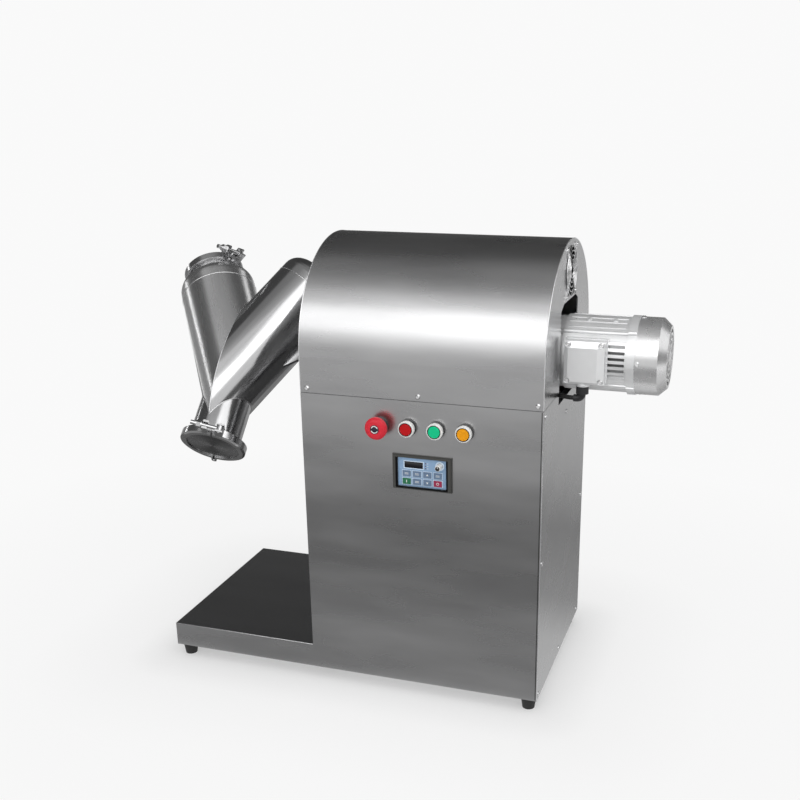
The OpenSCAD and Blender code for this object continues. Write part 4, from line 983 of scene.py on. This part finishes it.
for i, arrow in enumerate(in_copies(arrow, ["stop_arrow_upper", "stop_arrow_lower"])):
    place = facing_front(STOP_X, STOP_FACE - 0.45, BUTTON_Z) @ Matrix.Rotation(math.pi * i, 4, "Z")
    settle(arrow, place, print_white, "stop_mushroom")
print("badge and arrows done")

# %% [markdown]
# ## Dark collars of the push buttons
#
# Behind each white bezel sits a dark rubber collar that seals it on the sheet. It is a short tube: a
# circle is extruded along its axis, given a wall with Solidify, and its front rim is bevelled.

# %% Model the collars
def sleeve(name, radius, length, wall, edge):
    """A short tube along its own Z with a wall outside the given radius, in millimetres."""
    radius, length, wall, edge = radius * MM, length * MM, wall * MM, edge * MM
    piece = begin(bpy.ops.mesh.primitive_circle_add, name, vertices=64, radius=radius)
    mode("EDIT")
    bpy.ops.mesh.select_all(action="SELECT")
    bpy.ops.mesh.extrude_edges_move(TRANSFORM_OT_translate={"value": (0, 0, length)})
    close_up()
    thicken = piece.modifiers.new("wall", "SOLIDIFY")
    thicken.thickness = wall
    thicken.offset = 1.0
    bpy.ops.object.modifier_apply(modifier="wall")
    ease_edges(piece, edge, 60)
    bpy.ops.object.modifier_apply(modifier="ease")
    return piece


BUTTON_X, COLLAR_Y = (-241.0, -189.0, -137.0), -196.05
collar = sleeve("collar_red", 14.82, 6.0, 0.5, 0.15)
for collar, x in zip(in_copies(collar, ["collar_red", "collar_green", "collar_orange"]), BUTTON_X):
    settle(collar, facing_front(x, COLLAR_Y, BUTTON_Z), black, "cabinet")

# %% [markdown]
# A narrow gap runs round each coloured cap, between the cap and the white bezel, and it lies in
# shade. At this size a thin near-black ring on the bezel's front face is that shade, painted.

# %% Rings of painted shade round the caps
BEZEL_Y = -210.0
# Painted shade: a near-black material for gaps that lie in shade.
painted_gap_shade = moulded("painted_gap_shade", (0.004, 0.004, 0.005), 0.7, **DULL)
gap = sleeve("gap_red", 10.85, 0.3, 1.3, 0.08)
for gap, x in zip(in_copies(gap, ["gap_red", "gap_green", "gap_orange"]), BUTTON_X):
    settle(gap, facing_front(x, BEZEL_Y, BUTTON_Z), painted_gap_shade, "cabinet")
print("collars and rings done")

# %% [markdown]
# ## Keypad
#
# The drive's keypad has a dark glass display in a pale printed border, three small lamps, and a pale
# border round each key. The blue face sits back from its frame, and the gap and the recess's inner
# walls lie in shade: three thin near-black strips are that shade, painted. A border is a plane that
# is inset; its middle face is deleted and the rest is given a thickness.

# %% Borders of the display and the keys
def flat_frame(name, width, height, rim, thick):
    """A flat rectangular border, measured on its outside in millimetres."""
    width, height, rim, thick = width * MM, height * MM, rim * MM, thick * MM
    piece = begin(bpy.ops.mesh.primitive_plane_add, name, size=1.0)
    piece.scale = (width, height, 1.0)
    bpy.ops.object.transform_apply(location=False, rotation=False, scale=True)
    mode("EDIT")
    bpy.ops.mesh.select_all(action="SELECT")
    bpy.ops.mesh.inset(thickness=rim)
    bpy.ops.mesh.delete(type="FACE")
    raise_all(thick)
    close_up()
    return piece


PAD_X, PAD_Z, FACE_Y, FRAME_Y = -215.0, 448.0, -198.0, -201.0
pale_print = moulded("pale_blue_print", (0.66, 0.79, 0.93), 0.42, **PRINTED)
# Painted shade: three strips where the face's recess and gap are in shade.
for name, x, z, width, height in (
    ("face_gap_left", -47.0, -1.5, 4.0, 57.0),
    ("face_gap_right", 46.5, -1.5, 3.0, 57.0),
    ("face_gap_low", 0.0, -28.5, 90.0, 3.0),
):
    strip = slab(name, width, height, 0.3, 0.1)
    place = facing_front(PAD_X + x, FRAME_Y, PAD_Z + z)
    settle(strip, place, painted_gap_shade, "cabinet")
DISPLAY_X, DISPLAY_Z, PRINT_Y = -230.75, 461.5, FACE_Y - 0.02
border = flat_frame("display_border", 37.5, 15.0, 1.5, 0.25)
settle(border, facing_front(DISPLAY_X, PRINT_Y, DISPLAY_Z), pale_print, "cabinet")
KEY_X, KEY_PITCH, KEY_Z = -244.0, 19.3, (445.0, 430.5)
key_places = [(KEY_X + KEY_PITCH * (i % 4), KEY_Z[i // 4]) for i in range(8)]
border = flat_frame("key_border_1", 17.4, 13.0, 1.0, 0.25)
borders = in_copies(border, numbered("key_border", 8))
for border, (x, z) in zip(borders, key_places):
    settle(border, facing_front(x, PRINT_Y, z), pale_print, "cabinet")
print("borders:", 1 + len(key_places))

# %% [markdown]
# The display is a pane of smoked glass over black: a slab with bevelled edges and a clear, glossy
# coat. The three lamps beside it are small round lenses, discs with a bevelled rim, and each has a
# short printed dash beside it.

# %% Display glass and lamps
glass = moulded("display_glass", (0.006, 0.006, 0.008), 0.12,
                grit=60.0, dust=0.03, bump=0.0, Coat_Weight=0.5)
PANE_Y = FACE_Y + 0.58
pane = slab("display_pane", 34.0, 11.6, 0.45, 0.15)
settle(pane, facing_front(DISPLAY_X, PANE_Y, DISPLAY_Z), glass, "cabinet")

LAMP_X, DASH_X, LAMP_Z, LAMP_STEP = -208.5, -204.8, 466.0, 4.6
lens_dark = moulded("lamp_lens", (0.10, 0.02, 0.03), 0.25,
                    grit=900.0, dust=0.03, bump=0.02, Coat_Weight=0.4)
lens = disc("status_lamp_1", 1.1, 0.45, 0.2, 24)
lenses = in_copies(lens, numbered("status_lamp", 3))
dash = slab("lamp_mark_1", 2.4, 0.9, 0.12, 0.05)
dashes = in_copies(dash, numbered("lamp_mark", 3))
for i, (lens, dash) in enumerate(zip(lenses, dashes)):
    z = LAMP_Z - LAMP_STEP * i
    settle(lens, facing_front(LAMP_X, FACE_Y, z), lens_dark, "cabinet")
    settle(dash, facing_front(DASH_X, FACE_Y, z), print_white, "cabinet")
print("display and lamps done")

# %% [markdown]
# The keys carry plain signs: arrows up and down, a bar for on and a ring for off, and two bars on the
# menu keys. Each sign rides on its own key, so it moves when the key is pressed.

# %% Signs on the keys
KEY_FACE = FACE_Y - 1.2
SIGN = 0.15


def sign_on(key, piece, shift=0.0, turn=0.0):
    """Sets a sign on the face of a key, moved up or turned in that face."""
    x, z = key_places[key - 1]
    place = facing_front(x, KEY_FACE, z + shift) @ Matrix.Rotation(turn, 4, "Z")
    settle(piece, place, print_white, "keypad_key_%d" % key)


triangle = begin(bpy.ops.mesh.primitive_circle_add, "sign_up", vertices=3, radius=2.4 * MM,
                 fill_type="NGON")
mode("EDIT")
raise_all(SIGN * MM)
close_up()
sign_up, sign_down = in_copies(triangle, ["sign_up", "sign_down"])
sign_on(3, sign_up)
sign_on(7, sign_down, turn=math.pi)
sign_on(5, slab("sign_run", 1.3, 5.0, SIGN, 0.05))
sign_on(8, sleeve("sign_stop", 1.7, SIGN, 0.8, 0.02))
menu = [(key, end, shift) for key in (1, 2, 4, 6) for end, shift in (("low", -1.1), ("high", 1.1))]
bar = slab("sign_menu_1_low", 7.0, 0.8, SIGN, 0.05)
bars = in_copies(bar, ["sign_menu_%d_%s" % (key, end) for key, end, shift in menu])
for bar, (key, end, shift) in zip(bars, menu):
    sign_on(key, bar, shift)
print("signs done")

# %% [markdown]
# The speed knob is white with a black end and stands in a pale seat. The seat is a short wide tube.
# The end is a disc with a bevelled rim, and a white line on it shows the setting.

# %% End of the knob
KNOB_X, KNOB_END, KNOB_Z = -182.0, -213.0, 464.0
seat = sleeve("knob_seat", 5.6, 1.4, 2.6, 0.4)
settle(seat, facing_front(KNOB_X, FACE_Y, KNOB_Z), pale_print, "cabinet")
knob_end = disc("knob_end", 4.1, 0.4, 0.15, 40)
settle(knob_end, facing_front(KNOB_X, KNOB_END, KNOB_Z), black, "speed_knob")
pointer = slab("knob_pointer", 0.9, 3.2, 0.15, 0.05)
place = facing_front(KNOB_X, KNOB_END - 0.4, KNOB_Z + 1.9)
settle(pointer, place, print_white, "speed_knob")
print("knob done")

# %% [markdown]
# ## Small things on the motor
#
# A bright ring seals the gland under the terminal box. Low cast ribs run along the top of the body,
# with two small bosses between them. One rib, a slab with bevelled edges, is copied round the axis.

# %% Gland ring, ribs and bosses
GLAND_X, GLAND_TOP = 42, 595.3
ring = sleeve("gland_ring", 11.05, 5.0, 1.0, 0.4)
place = Matrix.Translation(at(GLAND_X, GLAND_Y, GLAND_TOP))
settle(ring, place, motor_paint, "cabinet")


def on_body(x, angle, height):
    """A place on the motor's round body: along it, round it in degrees, and out from its axis."""
    swing = Matrix.Rotation(math.radians(angle), 4, "X")
    return Matrix.Translation(at(x, 0, AXIS_Z)) @ swing @ Matrix.Translation((0, 0, height * MM))


BODY_X, BODY_R = 57, 67.0
rib = slab("body_rib_1", 101, 2.0, 1.6, 0.6)
ribs = in_copies(rib, numbered("body_rib", 6))
for rib, angle in zip(ribs, (-36, -24, -12, 12, 24, 36)):
    settle(rib, on_body(BODY_X, angle, BODY_R - 0.5), motor_paint, "cabinet")
boss = disc("body_boss_1", 4.2, 3.0, 0.8, 32)
for boss, x in zip(in_copies(boss, ["body_boss_1", "body_boss_2"]), (40.0, 86.0)):
    settle(boss, on_body(x, 18, BODY_R - 0.6), motor_paint, "cabinet")
print("motor details done")

# %% Finish
print("finished")
